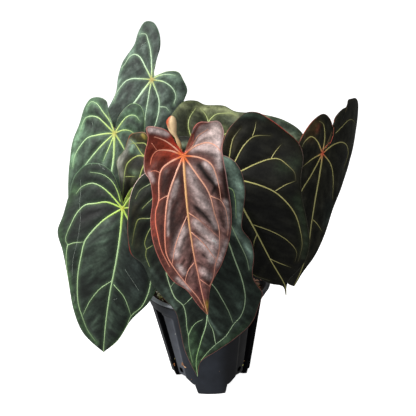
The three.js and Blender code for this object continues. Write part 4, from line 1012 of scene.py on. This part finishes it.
def make_leaf(name, number):
    """A blade, its veins and scratches, and its margin."""
    leaf, look = LEAVES[name], LOOKS[name]
    slot, material = BLADES[look["kind"]]
    sheet = Sheet(name, 11.0 * number)
    half = HALF - THINNED * smoothstep(sheet.places[:, 3], 0.9, 1)
    points, faces = solid_sheet(sheet.points, sheet.normals, sheet.triangles, half)
    tint = np.vstack(paint(name, look, sheet))
    blade = make(f"blade_{name}", points, faces.tolist(), material, tint, slots=slot)
    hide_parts(f"leaf_{name}")

    parts = []
    for rank, (line, widths, _) in enumerate(sheet.lines):
        reach = np.hypot(*line.T)
        colour = mix(look["root"], look["vein"], smoothstep(reach, 4, look["root_reach"]))
        if rank:
            share = np.linspace(0, 1, len(line))
            colour = mix(colour, look["halo"], smoothstep(share, 0.55, 1) * look["fade"])
        elif "midrib" in look:
            colour = mix(colour, look["midrib"], smoothstep(reach, 2, 12) * (1 - smoothstep(reach, 60, 130)))
        colour = spotted(colour, line, VEIN_SPOTS.get(name, ()))
        vein = laid_tube(*sheet.on(line), widths, HALF + 0.32 * widths + 0.1, VEIN_SIDES)
        parts.append((*vein, np.repeat(colour, VEIN_SIDES, axis=0)))
    for line in SCRATCHES.get(name, ()):
        line = curve_through(line, 8 * len(line))
        where, facing = sheet.on(line)
        thin = 0.16 + 0.08 * noisy(where, 0.5, 2, 3.0)
        mark = laid_tube(where, facing, thin, np.full(len(line), HALF + 0.1), TRIM_SIDES)
        parts.append((*mark, mix(look["light"], SCRATCH_TONE, 0.5)))
    make_joined(f"veins_{name}", parts, VEIN_MATERIAL, slot)

    tip, sinus = leaf["spine"][-1], sinus_of(leaf)
    outline = np.vstack([curve_through([tip, *leaf["left"][::-1], sinus], MARGIN_POINTS)[:-1],
                         curve_through([sinus, *leaf["right"], tip], MARGIN_POINTS)])
    notch = (1 - smoothstep(np.hypot(*outline.T), 8, 40)) * (outline[:, 1] > 0)
    colour = mix(look["margin"], look.get("notch", look["root"]), notch)
    # the margin spots: the rim's own colours, and painted highlights on the bronze rim
    colour = spotted(colour, outline, MARGIN_SPOTS.get(name, ()))
    size = np.full(len(outline), look["margin_size"])
    strip = laid_tube(*sheet.on(outline), size, size, TRIM_SIDES)
    make(f"margin_{name}", *strip, MARGIN_MATERIAL, np.repeat(colour, TRIM_SIDES, axis=0), slots=slot)


# ---- stalks

BEHIND_BLADE = 1.45
STALK_TONES = {
    "stalk_green": (srgb(104, 122, 70), srgb(116, 140, 74)),
    "stalk_red": (srgb(112, 92, 62), srgb(150, 66, 48)),
}
NEW_STALK_TONES = srgb(120, 100, 60), srgb(196, 130, 84)


def make_stalk(name, root, via, end, scale, low, high, slot):
    """A stalk from the crown to the blade, slim between a stout foot and a swollen neck."""
    path = curve_through([(*root, STALK_FOOT), *via, *end], 90)
    share = np.linspace(0, 1, len(path))
    size = (STALK_SLIM + (STALK_BASE - STALK_SLIM) * (1 - smoothstep(share, 0, 0.25))
            + (STALK_SWELL - STALK_SLIM) * smoothstep(share, 0.86, 0.95))
    size = size * scale * (1 + 0.03 * noisy(path, 0.06, 2, 5.0))
    along = np.gradient(path, axis=0)
    along /= np.linalg.norm(along, axis=1, keepdims=True)
    sideways, last = [], np.array([1.0, 0, 0])
    for direction in along:
        last = last - direction * (last @ direction)
        last = last / np.linalg.norm(last)
        sideways.append(last)
    sideways = np.array(sideways)
    points, faces = tube(path, sideways, np.cross(along, sideways), size, size, STALK_SIDES)
    colour = mix(low, high, smoothstep(share, 0.05, 0.9))
    colour = colour * (1 + 0.2 * noisy(path, 0.08, 2, 9.0))[:, None]
    tint = np.repeat(colour, STALK_SIDES, axis=0)
    stalk = make(f"petiole_{name}", points, faces, STALK_MATERIAL, tint, slots=slot)
    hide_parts(f"stalk_{name}")


def stalk_end(leaf):
    """The stalk's last points, which bend to meet the back of the blade squarely."""
    face = axes_of(leaf)[2]
    top = np.array(leaf["at"], float) - face * BEHIND_BLADE
    return [top - face * 14 - np.array([0, 0, 3]), top - face * 4.7, top]


# ---- pot

# The pot's tones, in order: the lip's painted highlight, its plain tone and its painted shade; the plastic's
# own slate, slate in painted shade, and painted shade inside and under the lip; a flute floor painted lit,
# flutes in painted shade and grooves in painted shade; painted shade in the grooves and holes, and real dirt.
LIT_LIP, PLAIN_LIP, SHADED_LIP = srgb(190, 196, 203), srgb(142, 147, 153), srgb(52, 54, 59)
SLATE, SHADED_SLATE, INSIDE = srgb(44, 48, 56), srgb(25, 26, 31), srgb(24, 25, 29)
LIT_FLUTE, SHADED_FLUTE, GROOVE = srgb(82, 86, 95), srgb(13, 13, 16), srgb(8, 8, 11)
SHADE_BLACK, DIRT = (*srgb(9, 9, 12), 1), (*srgb(120, 96, 70), 1)


def wall_radius(z):
    z = np.asarray(z, float)
    body = BOTTOM_RADIUS + (BODY_TOP_RADIUS - BOTTOM_RADIUS) * z / BODY_TOP
    step = BODY_TOP_RADIUS + (COLLAR_BASE_RADIUS - BODY_TOP_RADIUS) * smoothstep(z, BODY_TOP, COLLAR_BASE)
    share = np.clip((z - COLLAR_BASE) / (LIP_UNDER - COLLAR_BASE), 0, 1)
    collar = COLLAR_BASE_RADIUS + (COLLAR_TOP_RADIUS - COLLAR_BASE_RADIUS) * share
    return np.where(z <= BODY_TOP, body, np.where(z <= COLLAR_BASE, step, collar))


def offset_of(angle):
    """Degrees from the middle of the nearest flute."""
    return angle % SECTOR - SECTOR / 2


def recess(offset, z):
    """How deep the flute and its groove are there."""
    off = abs(offset)
    flute = FLUTE_DEPTH * (1 - smoothstep(off, FLUTE_FLOOR, FLUTE_HALF))
    groove = (GROOVE_DEPTH - FLUTE_DEPTH) * (1 - smoothstep(off, GROOVE_FLOOR, GROOVE_MOUTH))
    return (flute + groove) * (1 - smoothstep(z, FLUTE_FADE, FLUTE_TOP))


def outer_radius(offset, z):
    """The wall's radius, with its slightly flat panels, its flutes and its grooves."""
    flat = PANEL_FLAT * (1 - smoothstep(z, BODY_TOP, COLLAR_BASE))
    nearest = 60 - abs(offset) if abs(offset) > 30 else abs(offset)
    share = math.cos(math.radians(nearest * 3))
    return float(wall_radius(z) * (1 - flat * share * share) - recess(offset, z))


def lean_at(radius, z):
    """How far the soft pot is pushed aside, clear of the crown."""
    rim = smoothstep(z, BODY_TOP, LIP_UNDER)
    return (FOOT_SHIFT + LEAN * z + RIM_RETURN * rim) * smoothstep(radius, LEAN_FROM, LEAN_TO)


def leaning(angle, radius, z):
    """Points of the round upright pot as they stand in the soft, leaning one."""
    rim = smoothstep(z, BODY_TOP, LIP_UNDER)
    x = radius * np.sin(angle) * (1 + RIM_OVAL * rim)
    raised = z + RIM_TILT * (z / HEIGHT) ** 2 * smoothstep(radius, 30, 55) * x
    near = np.exp(-((np.sin((angle + RAISED_TURN) / 2) * 2 / RAISED_REACH) ** 2))
    raised = raised + RIM_RAISED * rim * smoothstep(radius, 55, 60) * near
    return np.stack([x + lean_at(radius, z), -radius * np.cos(angle), raised], axis=-1)


def arched_edge(angle, offset):
    """The wall's lower edge: steep at a foot's sides, then rising to the arch between the feet."""
    off = abs(offset)
    if off >= FOOT_EDGE:
        return 0.0
    if off >= FOOT_SHOULDER:
        return SHOULDER_HEIGHT * (FOOT_EDGE - off) / (FOOT_EDGE - FOOT_SHOULDER)
    front = smoothstep(math.cos(math.radians(angle)), 0.44, 0.56)
    arch = BACK_ARCH + (FRONT_ARCH - BACK_ARCH) * front
    return float(arch + (SHOULDER_HEIGHT - arch) * smoothstep(off, FLUTE_FLOOR, FOOT_SHOULDER))


def pot_profile(angle):
    """The section at an angle, as (radius, height), from under the floor over the lip to the floor's top."""
    offset = offset_of(angle)
    edge = arched_edge(angle, offset)

    def wall(heights, inset=0):
        return [(outer_radius(offset, z) - inset, z) for z in heights]

    foot = outer_radius(offset, edge)
    rise = FLUTE_FADE - 3 - edge
    turns = np.radians(np.linspace(-90, 90, 8))
    lip = [(LIP_ROUND * math.cos(turn), LIP_ROUND * math.sin(turn)) for turn in turns]
    return [
        (0, FLOOR_UNDER), *wall([FLOOR_UNDER], SKIRT),
        (foot - SKIRT, edge + 0.4), (foot - 2.6, edge), (foot - 0.4, edge), (foot, edge + 0.5),
        *wall([edge + rise * k / 20 for k in range(1, 21)]),
        *wall([FLUTE_FADE, FLUTE_FADE + 1.3, FLUTE_FADE + 2.6, FLUTE_TOP, BODY_TOP, BODY_TOP + 1]),
        *wall([COLLAR_BASE, COLLAR_BASE + 3, COLLAR_BASE + 6, LIP_UNDER - 1.6]),
        *[(outer_radius(offset, LIP_UNDER) - 0.9, LIP_UNDER - down) for down in (1.2, 0.3)],
        *[(LIP_RADIUS - LIP_ROUND + right, HEIGHT - LIP_ROUND + up) for right, up in lip],
        (BORE + 1.2, HEIGHT), (BORE + 0.3, HEIGHT - 0.3), (BORE, HEIGHT - 1.2), (BORE - 0.3, LIP_UNDER - 3),
        *wall([101, COLLAR_BASE, FLUTE_TOP, FLUTE_FADE, 50, FLOOR_TOP], WALL), (0, FLOOR_TOP),
    ]


def make_pot():
    degrees = np.arange(0, 360, 1.0)
    columns = [pot_profile(angle) for angle in degrees]
    count, rows = len(columns), len(columns[0])
    p = np.array(columns)
    points = leaning(np.radians(degrees)[:, None], p[:, :, 0], p[:, :, 1]).reshape(-1, 3)
    faces = []
    for c in range(count):
        a, b = c * rows, (c + 1) % count * rows
        faces.append((0, b + 1, a + 1))
        faces += [(a + r, b + r, b + r + 1, a + r + 1) for r in range(1, rows - 2)]
        faces.append((a + rows - 2, b + rows - 2, rows - 1))
    keep = np.ones(len(points), bool)  # the sections meet in the middle, where the first one's points stay
    keep[rows::rows] = keep[2 * rows - 1::rows] = False
    number = np.cumsum(keep) - 1
    faces = [tuple(int(number[i]) for i in face) for face in faces]
    shades = np.array([pot_shade(float(angle), *spot) for angle, profile in zip(degrees, columns)
                       for spot in profile])
    pot = make("pot_shell", points[keep], faces, pot_material(), shades[keep], slots="pot")
    drill(pot)
    line_grooves(pot)
    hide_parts("pot")


def pot_shade(angle, radius, z):
    """The plastic's tone, with painted light and shade: a painted highlight on the lip's left and painted
    shade on its right, a painted lit floor in the flutes to the left, and painted shade on the body and
    flutes to the right, in the grooves, inside and under the lip.
    """
    def step(value, low, high):
        return float(smoothstep(value, low, high))

    angle = (angle + 180) % 360 - 180
    # the lip: a painted highlight to the left, painted shade to the right
    if z > LIP_UNDER + 0.3:
        return mix(mix(LIT_LIP, PLAIN_LIP, step(angle, -60, -42)), SHADED_LIP, step(angle, 10, 50))
    # painted shade inside the pot and in the band under the lip
    if z > LIP_UNDER - 1.7 or radius <= float(wall_radius(z)) - GROOVE_DEPTH - 1.5 or z <= 0:
        return INSIDE
    below = 1 - step(z, FLUTE_FADE, FLUTE_TOP)
    left, right = angle + 60, angle - 60
    # painted shade on the body's right side
    body = mix(SLATE, SHADED_SLATE, step(angle, 8, 26))
    # a painted lit floor in the flutes to the left
    body = mix(body, LIT_FLUTE, step(left, 5, 9) * (1 - step(left, 23, 25)) * below)
    # painted shade in the flutes to the right
    body = mix(body, SHADED_FLUTE, step(right, -25, -23) * (1 - step(right, 22, 26)) * below)
    # painted shade in the grooves
    return mix(body, GROOVE, max(1 - step(abs(left + 3), 7, 9), 1 - step(abs(right), 5, 7)) * below)


def line_grooves(pot):
    """The grooves and the flutes to the right get a rougher plastic, painted near black as painted shade."""
    rough, _ = new_material("painted_shade_plastic", 0.95, 0.03, **{"Base Color": SHADE_BLACK})
    pot.data.materials.append(rough.owner)
    for face in pot.data.polygons:
        x, y, z = np.array(face.center) * METRE - AXIS
        x -= float(lean_at(50, z))
        angle = math.degrees(math.atan2(x, -y))
        inner = math.hypot(x, y) < float(wall_radius(z)) - GROOVE_DEPTH - 1.2
        if z > FLUTE_TOP - 1 or inner or abs(face.normal.z) > 0.7:
            continue
        left, right, behind = angle + 60, angle - 60, abs(abs(angle) - 180)
        # painted shade: the grooves, the flutes to the right and the groove at the back
        if -13 < left < 6.5 or -5.5 < right < 26 or behind < 5:
            face.material_index = 1


def drill(pot):
    """Cuts the drainage holes through the wall, and paints shade in them."""
    cutter = bmesh.new()
    for sector in range(3):
        for offset in (-15, 0, 15):
            angle = math.radians(60 + sector * SECTOR + offset)
            radius = outer_radius(offset, DRAIN_HEIGHT)
            spot = np.array([radius * math.sin(angle) + float(lean_at(radius, DRAIN_HEIGHT)),
                             -radius * math.cos(angle), DRAIN_HEIGHT])
            aimed = Matrix.Rotation(angle, 4, "Z") @ Matrix.Rotation(math.pi / 2, 4, "X")
            place = Matrix.Translation((spot + AXIS) / METRE) @ aimed
            bmesh.ops.create_cone(cutter, cap_ends=True, segments=24, radius1=DRAIN_RADIUS / METRE,
                                  radius2=DRAIN_RADIUS / METRE, depth=DRILL_LENGTH / METRE, matrix=place)
    mesh = bpy.data.meshes.new("drill")
    cutter.to_mesh(mesh)
    cutter.free()
    tool = put("drill", mesh)
    cut = pot.modifiers.new("drill", "BOOLEAN")
    cut.object, cut.operation, cut.solver = tool, "DIFFERENCE", "EXACT"
    done = bpy.data.meshes.new_from_object(pot.evaluated_get(bpy.context.evaluated_depsgraph_get()))
    pot.modifiers.clear()
    pot.data = done
    tint = done.color_attributes["tint"].data
    # painted shade in the holes: pale points near their height turn near black
    for vertex in done.vertices:
        if abs(vertex.co.z * METRE - DRAIN_HEIGHT) < 5 and tint[vertex.index].color[0] > 0.1:
            tint[vertex.index].color = SHADE_BLACK
    done.shade_smooth()
    done.set_sharp_from_angle(angle=math.radians(38))
    bpy.data.objects.remove(tool)


def pot_material():
    """The tint, worn in clouds, with a few specks of dirt where the clouds are dense."""
    graph, shader = new_material("nursery_plastic", 0.45, 0.35)
    fine = graph.texture("Noise", 900, Detail=4.0, Roughness=0.6).outputs["Fac"]
    clouds = graph.texture("Noise", 55, Detail=5.0, Roughness=0.6).outputs["Fac"]
    specks = graph.texture("Voronoi", 150, Randomness=1.0).outputs["Distance"]
    few = graph.new("Math", operation="MULTIPLY")
    graph.links.new(graph.ranged(specks, 1, 0, 0.08, 0.13), few.inputs[0])
    graph.links.new(graph.ranged(clouds, 0, 1, 0.56, 0.62), few.inputs[1])
    dirt = graph.new("Mix", data_type="RGBA")
    fill(dirt, {"B": DIRT})
    graph.links.new(few.outputs[0], dirt.inputs["Factor"])
    worn = graph.scaled(graph.tint(), graph.ranged(clouds, 0.78, 1.22, 0.35, 0.68))
    graph.links.new(worn, dirt.inputs["A"])
    graph.links.new(dirt.outputs["Result"], shader.inputs["Base Color"])
    graph.links.new(graph.ranged(clouds, 0.5, 0.34, *CLOUD_MIDDLE), shader.inputs["Roughness"])
    graph.bump(shader, fine, 0.00008, 0.5)
    return graph.owner


# ---- soil and crown

def soil_top(x, y):
    return SOIL_LEVEL + SOIL_LUMP * (np.sin(x / 7 + 1) * np.cos(y / 6) + 0.5 * np.sin((x + y) / 4))


def make_soil():
    """The bed: a lumpy top in rings from its middle to the wall, closed below."""
    rings, spokes = 40, 120
    radius = np.linspace(0, 1, rings)[:, None] * BED_RADIUS
    angle = np.linspace(0, 2 * math.pi, spokes, endpoint=False)[None, :]
    top = leaning(angle, radius, np.full((rings, spokes), float(SOIL_LEVEL))).reshape(-1, 3)
    top[:, 2] += soil_top(top[:, 0], top[:, 1]) - SOIL_LEVEL
    top[:, 2] += noisy(top, 0.35, 3, 2.0) * 1.4
    middle = np.array([top[-spokes:, 0].mean(), 0, 0])
    base = (top[-spokes:] - middle) * np.array([0.95, 0.95, 0]) + middle + np.array([0, 0, BED_BASE])
    points = np.vstack([top, base, [[0, 0, BED_BASE]]])
    faces = []
    for ring in range(rings):
        for s in range(spokes):
            a, b = ring * spokes + s, ring * spokes + (s + 1) % spokes
            faces.append((a + spokes, b + spokes, b, a))
    last, low = len(points) - 1, rings * spokes
    faces += [(last, low + (s + 1) % spokes, low + s) for s in range(spokes)]
    tint = mix(srgb(52, 36, 26), srgb(84, 62, 44), smoothstep(noisy(points, 0.3, 3, 8.0), -0.4, 0.5))
    bed = make("bed", points, faces, CHIP_MATERIAL, tint, slots="soil")
    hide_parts("soil")


BARK_TONES = ((96, 62, 40), (74, 48, 32), (120, 82, 54), (58, 40, 30), (140, 104, 72))
PALE_TONES = ((196, 190, 150), (178, 176, 120), (206, 200, 176))
CHIP_COUNT, BARK_SHARE, GOLDEN_ANGLE, CROWN_CLEAR, CHIP_SPREAD = 420, 0.7, 2.39996, 18, 40.5
# the rim's pumice and moss tones carry painted light
LIT_PUMICE, LIT_MOSS, BARK, PINK_BARK = (255, 254, 214), (232, 230, 150), (206, 146, 96), (250, 198, 170)
# Bits at the rim: middle, half sizes and tone. The pumice and moss are near white, paler than the chips on
# the bed, as painted light against the shade of the leaves over them.
RIM_BITS = (
    (-57, -11, 106.5, (1.7, 1.5, 1.5), LIT_PUMICE), (-54.5, -19, 106.5, (3, 2.6, 2.3), LIT_PUMICE),
    (-52.5, -24, 106, (2.1, 2, 1.7), LIT_MOSS), (-54.5, -14, 105.5, (1.8, 1.7, 1.6), LIT_MOSS),
    (-50, -30, 105, (1.5, 1.2, 1.1), LIT_PUMICE), (-55.5, -8, 104, (1.8, 1.2, 0.8), BARK),
    (-51, -20, 104.5, (2.4, 1.2, 1), BARK), (-48, -26, 105, (2.2, 1.4, 1), BARK),
    (47, 22, 106, (2.6, 1.6, 1.1), PINK_BARK), (50.5, 17, 106.5, (3.8, 2.2, 1.4), PINK_BARK),
    (51, 9, 105.5, (2.2, 2.6, 1.6), PINK_BARK), (51.5, 2, 104.5, (2, 2.6, 1.4), BARK),
    (55, 17, 107, (2.4, 1.2, 0.9), PINK_BARK), (46, 12, 105, (2.4, 1.6, 1), BARK),
)
# Bits caught on the pot's wall and in its drainage holes: angle, height, half sizes and tone
POT_BITS = (
    (-37, 36, 2, 2.6, (138, 98, 72)), (-35, 33, 3, 1.6, (226, 180, 144)),
    (-65, 25.5, 2.6, 3, (186, 116, 68)), (-63.5, 29.5, 1.6, 1.6, (108, 74, 46)),
    (-38, 73.5, 0.7, 0.8, (210, 208, 200)), (-60.5, 39, 0.7, 0.6, (190, 186, 150)),
    (-64, 32.5, 0.9, 0.9, (160, 150, 96)), (-38.5, 55, 0.5, 0.5, (170, 160, 140)),
    (-62, 86.5, 0.5, 0.5, (150, 110, 80)), (-27.5, 18, 0.8, 0.6, (130, 84, 54)),
    (53, 27, 1, 1, (214, 208, 130)), (64, 27.5, 0.9, 0.8, (140, 104, 62)),
    (12, 30, 0.35, 0.35, (120, 100, 84)), (-9, 44, 0.35, 0.35, (120, 108, 96)),
)


def make_chips():
    """Loose bark and pumice over the bed, then the bits that show at the rim and on the wall."""
    rng = np.random.default_rng(5)
    tones, barks = BARK_TONES + PALE_TONES, len(BARK_TONES)
    parts = []
    for i in range(CHIP_COUNT):
        angle = i * GOLDEN_ANGLE + rng.uniform(-0.2, 0.2)
        reach = CROWN_CLEAR + CHIP_SPREAD * math.sqrt((i + 0.5) / CHIP_COUNT)
        tone = rng.integers(0, barks) if rng.random() < BARK_SHARE else rng.integers(barks, len(tones))
        if tone < barks:
            size = rng.uniform(1.6, 4.2) * np.array([1.6, 0.9, 0.42])
        else:
            size = rng.uniform(1.2, 2.6) * np.array([1, 0.85, 0.75])
        size = size * (0.7 if reach > 54 else 1)
        x = reach * math.sin(angle) + float(lean_at(reach, SOIL_LEVEL))
        parts.append(chip(rng, x, -reach * math.cos(angle), size, tones[tone]))
    for x, y, z, size, tone in RIM_BITS:
        bit, sides, colour = chip(rng, x, y, np.array(size), tone)
        bit[:, 2] += z - bit[:, 2].mean()
        parts.append((bit, sides, colour))
    for angle, z, wide, tall, tone in POT_BITS:
        turn = math.radians(angle)
        reach = outer_radius(offset_of(angle), z)
        bit, sides, colour = chip(rng, 0, 0, np.array((wide, tall, 0.8)), tone)
        bit -= bit.mean(axis=0)
        out, along = (math.sin(turn), -math.cos(turn), 0), (math.cos(turn), math.sin(turn), 0)
        place = leaning(turn, np.array(reach), np.array(float(z)))
        parts.append((place + bit @ np.array([along, (0, 0, 1), out]), sides, colour))
    make_joined("chips", parts, CHIP_MATERIAL, "soil", flat=True)


def chip(rng, x, y, size, tone):
    """One broken bit: the hull of a few points in a box."""
    mesh = bmesh.new()
    for corner in rng.uniform(-1, 1, (13, 3)):
        corner = corner / max(1, np.linalg.norm(corner) / 1.15)
        mesh.verts.new(corner * size)
    hull = bmesh.ops.convex_hull(mesh, input=mesh.verts)
    bmesh.ops.delete(mesh, geom=list({*hull["geom_unused"], *hull["geom_interior"]}), context="VERTS")
    turn = Matrix.Rotation(rng.uniform(0, 6.28), 3, "Z") @ Matrix.Rotation(rng.uniform(-0.6, 0.6), 3, "X")
    mesh.verts.index_update()
    points = np.array([turn @ v.co for v in mesh.verts])
    faces = [[v.index for v in f.verts] for f in mesh.faces]
    mesh.free()
    z = float(soil_top(x, y)) + RIM_TILT * 0.8 * x * float(smoothstep(math.hypot(x, y), 30, 55))
    points = points + np.array([x, y, z + size[2] * 0.45])
    return points, faces, srgb(*tone) * rng.uniform(0.75, 1.25)


def make_crown():
    """A short fibrous stem, wrapped by the dry sheaths of old leaves."""
    rings, spokes = 26, 72
    share, knots = np.linspace(0, 1, rings), (0, 0.3, 0.5, 0.8, 1)
    profile = np.interp(share, knots, (17.3, 17.2, 16.3, 11.6, 0.01))
    height = np.interp(share, knots, (96, 101, 105, 112.6, 116.6))
    angle = np.linspace(0, 2 * math.pi, spokes, endpoint=False)
    flat = np.array([[r * math.sin(a), -r * math.cos(a), h] for r, h in zip(profile, height) for a in angle])
    lumps = noisy(flat * np.array([1, 1, 0.25]), 0.28, 3, 4.0)
    inward = 1 - 0.05 * (1 - lumps)
    points = flat * np.c_[inward, inward, np.ones(len(flat))]
    tint = mix(srgb(78, 62, 40), srgb(128, 116, 70), smoothstep(lumps, -0.3, 0.4))
    crown = make("stem", points, ring_faces(rings, spokes), CROWN_MATERIAL, tint, slots="crown")
    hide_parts("crown")
    rng = np.random.default_rng(9)
    parts = []
    for x, y in (leaf["root"] for leaf in LEAVES.values()):
        for k in (-1, 1):
            facing = math.atan2(x, -y) + 0.9 * k + rng.uniform(-0.3, 0.3)
            parts.append(sheath(x, y, facing, rng.uniform(14, 24)))
    make_joined("sheaths", parts, CROWN_MATERIAL, "crown")


def sheath(x, y, facing, tall):
    """A dry papery scale that clasps a stalk's foot."""
    rows, columns = 10, 7
    grid = []
    for up in (r / (rows - 1) for r in range(rows)):
        half = 0.95 * (1 - up**1.6) + 0.04
        reach = 3.4 + 0.9 * up**2
        for c in range(columns):
            a = facing + half * (2 * c / (columns - 1) - 1)
            grid.append([x + reach * math.sin(a), y - reach * math.cos(a), SHEATH_FOOT + tall * up])
    grid = np.array(grid)
    faces = np.array([t for r in range(rows - 1) for a in range(r * columns, (r + 1) * columns - 1)
                      for t in ((a, a + 1, a + columns + 1), (a, a + columns + 1, a + columns))])
    points, solid = solid_sheet(grid, vertex_normals(grid, faces), faces, np.full(len(grid), SHEATH_HALF))
    up = (points[:, 2] - SHEATH_FOOT) / tall
    return points, solid.tolist(), mix(srgb(132, 104, 66), srgb(104, 70, 44), np.clip(up, 0, 1))


# ---- the newest leaf

def make_new_leaf():
    """A cream roll with a long fold, and red-orange on its left near the tip."""
    sides = 40
    path = curve_through(NEW_LEAF, 60)
    centre, wide, deep = path[:, None, :3], path[:, 3:4], path[:, 4:5]
    run = np.linspace(0, 1, len(path))
    turn = 2 * math.pi * np.arange(sides) / sides
    fold = 1 - 0.22 * np.exp(-((turn - 4.3) / 0.35) ** 2) * smoothstep(run, 0.3, 0.6)[:, None]
    points = centre + np.stack([fold * np.cos(turn) * wide, fold * np.sin(turn) * deep, fold * 0], axis=-1)
    share = np.repeat(run, sides)
    left = smoothstep(np.tile(np.cos(turn), len(path)), -0.35, -0.85)
    colour = mix(srgb(226, 176, 118), srgb(236, 206, 160), smoothstep(share, 0, 0.5))
    colour = mix(colour, srgb(206, 84, 44), left * smoothstep(share, 0.55, 0.8))
    leaf = make("scroll", points.reshape(-1, 3), ring_faces(len(path), sides), NEW_LEAF_MATERIAL, colour,
                slots="new_leaf")
    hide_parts("leaf_new")


for index, (name, leaf) in enumerate(LEAVES.items()):
    make_leaf(name, index)
    slot = "stalk_red" if name == "bronze" else "stalk_green"
    make_stalk(name, leaf["root"], leaf["via"], stalk_end(leaf), 1, *STALK_TONES[slot], slot)
tip_start = np.array(NEW_LEAF[0][:3], float)
tip_way = np.array(NEW_LEAF[1][:3], float) - tip_start
new_end = [tip_start - tip_way / np.linalg.norm(tip_way) * 0.5]
make_stalk("new", NEW_ROOT, NEW_VIA, new_end, NEW_SCALE, *NEW_STALK_TONES, "stalk_red")
make_pot()
make_soil()
make_chips()
make_crown()
make_new_leaf()

# ---- camera, floor and light

CAMERA = np.array([-1.19, -817.47, 437.29])
ELEVATION, ROLL, FOCAL, SENSOR = math.radians(16.5), math.radians(1.2), 818 / 416, 36
FLOOR_SIDE, FLOOR_BACK, FLOOR_DROP, FLOOR_GLOW = 9, 16, 0.0002, 0.92

ahead = np.array([0, math.cos(ELEVATION), -math.sin(ELEVATION)])
level_up = np.array([0, math.sin(ELEVATION), math.cos(ELEVATION)])
level_right = np.array([1.0, 0, 0])
right = math.cos(ROLL) * level_right - math.sin(ROLL) * level_up
up = math.sin(ROLL) * level_right + math.cos(ROLL) * level_up
camera_data = bpy.data.cameras.new("camera")
camera_data.sensor_width = SENSOR
camera_data.lens = SENSOR * FOCAL
camera = put("camera", camera_data)
basis = Matrix.Identity(4)
for row in range(3):
    basis[row][0], basis[row][1], basis[row][2] = right[row], up[row], -ahead[row]
    basis[row][3] = (CAMERA[row] + AXIS[row]) / METRE
camera.matrix_world = basis
bpy.context.scene.camera = camera

floor_mesh = bpy.data.meshes.new("floor")
corners = [(-FLOOR_SIDE, -FLOOR_SIDE, 0), (FLOOR_SIDE, -FLOOR_SIDE, 0), (FLOOR_SIDE, FLOOR_BACK, 0),
           (-FLOOR_SIDE, FLOOR_BACK, 0)]
floor_mesh.from_pydata(corners, [], [(0, 1, 2, 3)])
pale, _ = new_material("floor", 0.9, 0.2, **{"Base Color": (0.9, 0.9, 0.9, 1), "Emission Color": (1, 1, 1, 1),
                                             "Emission Strength": FLOOR_GLOW})
floor_mesh.materials.append(pale.owner)
floor = put("floor", floor_mesh)
floor.location.z = -FLOOR_DROP
floor.visible_diffuse = floor.visible_glossy = False


def area_light(name, place, aim, size, power, colour):
    data = bpy.data.lights.new(name, "AREA")
    data.shape, data.size, data.energy, data.color = "DISK", size, power, colour
    light = put(name, data)
    light.location = place
    light.rotation_euler = (Vector(aim) - Vector(place)).to_track_quat("-Z", "Y").to_euler()


area_light("key", (-1.1, -0.8, 1.2), (0, 0, 0.22), 0.55, 26, (1.0, 0.99, 0.97))
area_light("fill", (0.2, -1.7, 0.7), (0, 0, 0.22), 1.0, 5, (0.96, 0.98, 1.0))

# The world is white to the camera, and lights the plant more from the left than from the right
world = Graph(bpy.data.worlds.new("studio"))
background = world.nodes["Background"]
fill(background, {"Color": (1, 1, 1, 1)})
split, add = world.new("SeparateXYZ"), world.new("Math", operation="ADD", use_clamp=True)
world.links.new(world.new("TexCoord").outputs["Generated"], split.inputs["Vector"])
world.links.new(world.ranged(split.outputs["X"], 0.4, 0.19, -0.9, 0.9), add.inputs[0])
world.links.new(world.new("LightPath").outputs["Is Camera Ray"], add.inputs[1])
world.links.new(add.outputs[0], background.inputs["Strength"])
bpy.context.scene.world = world.owner
bpy.context.scene.view_settings.view_transform = "Standard"
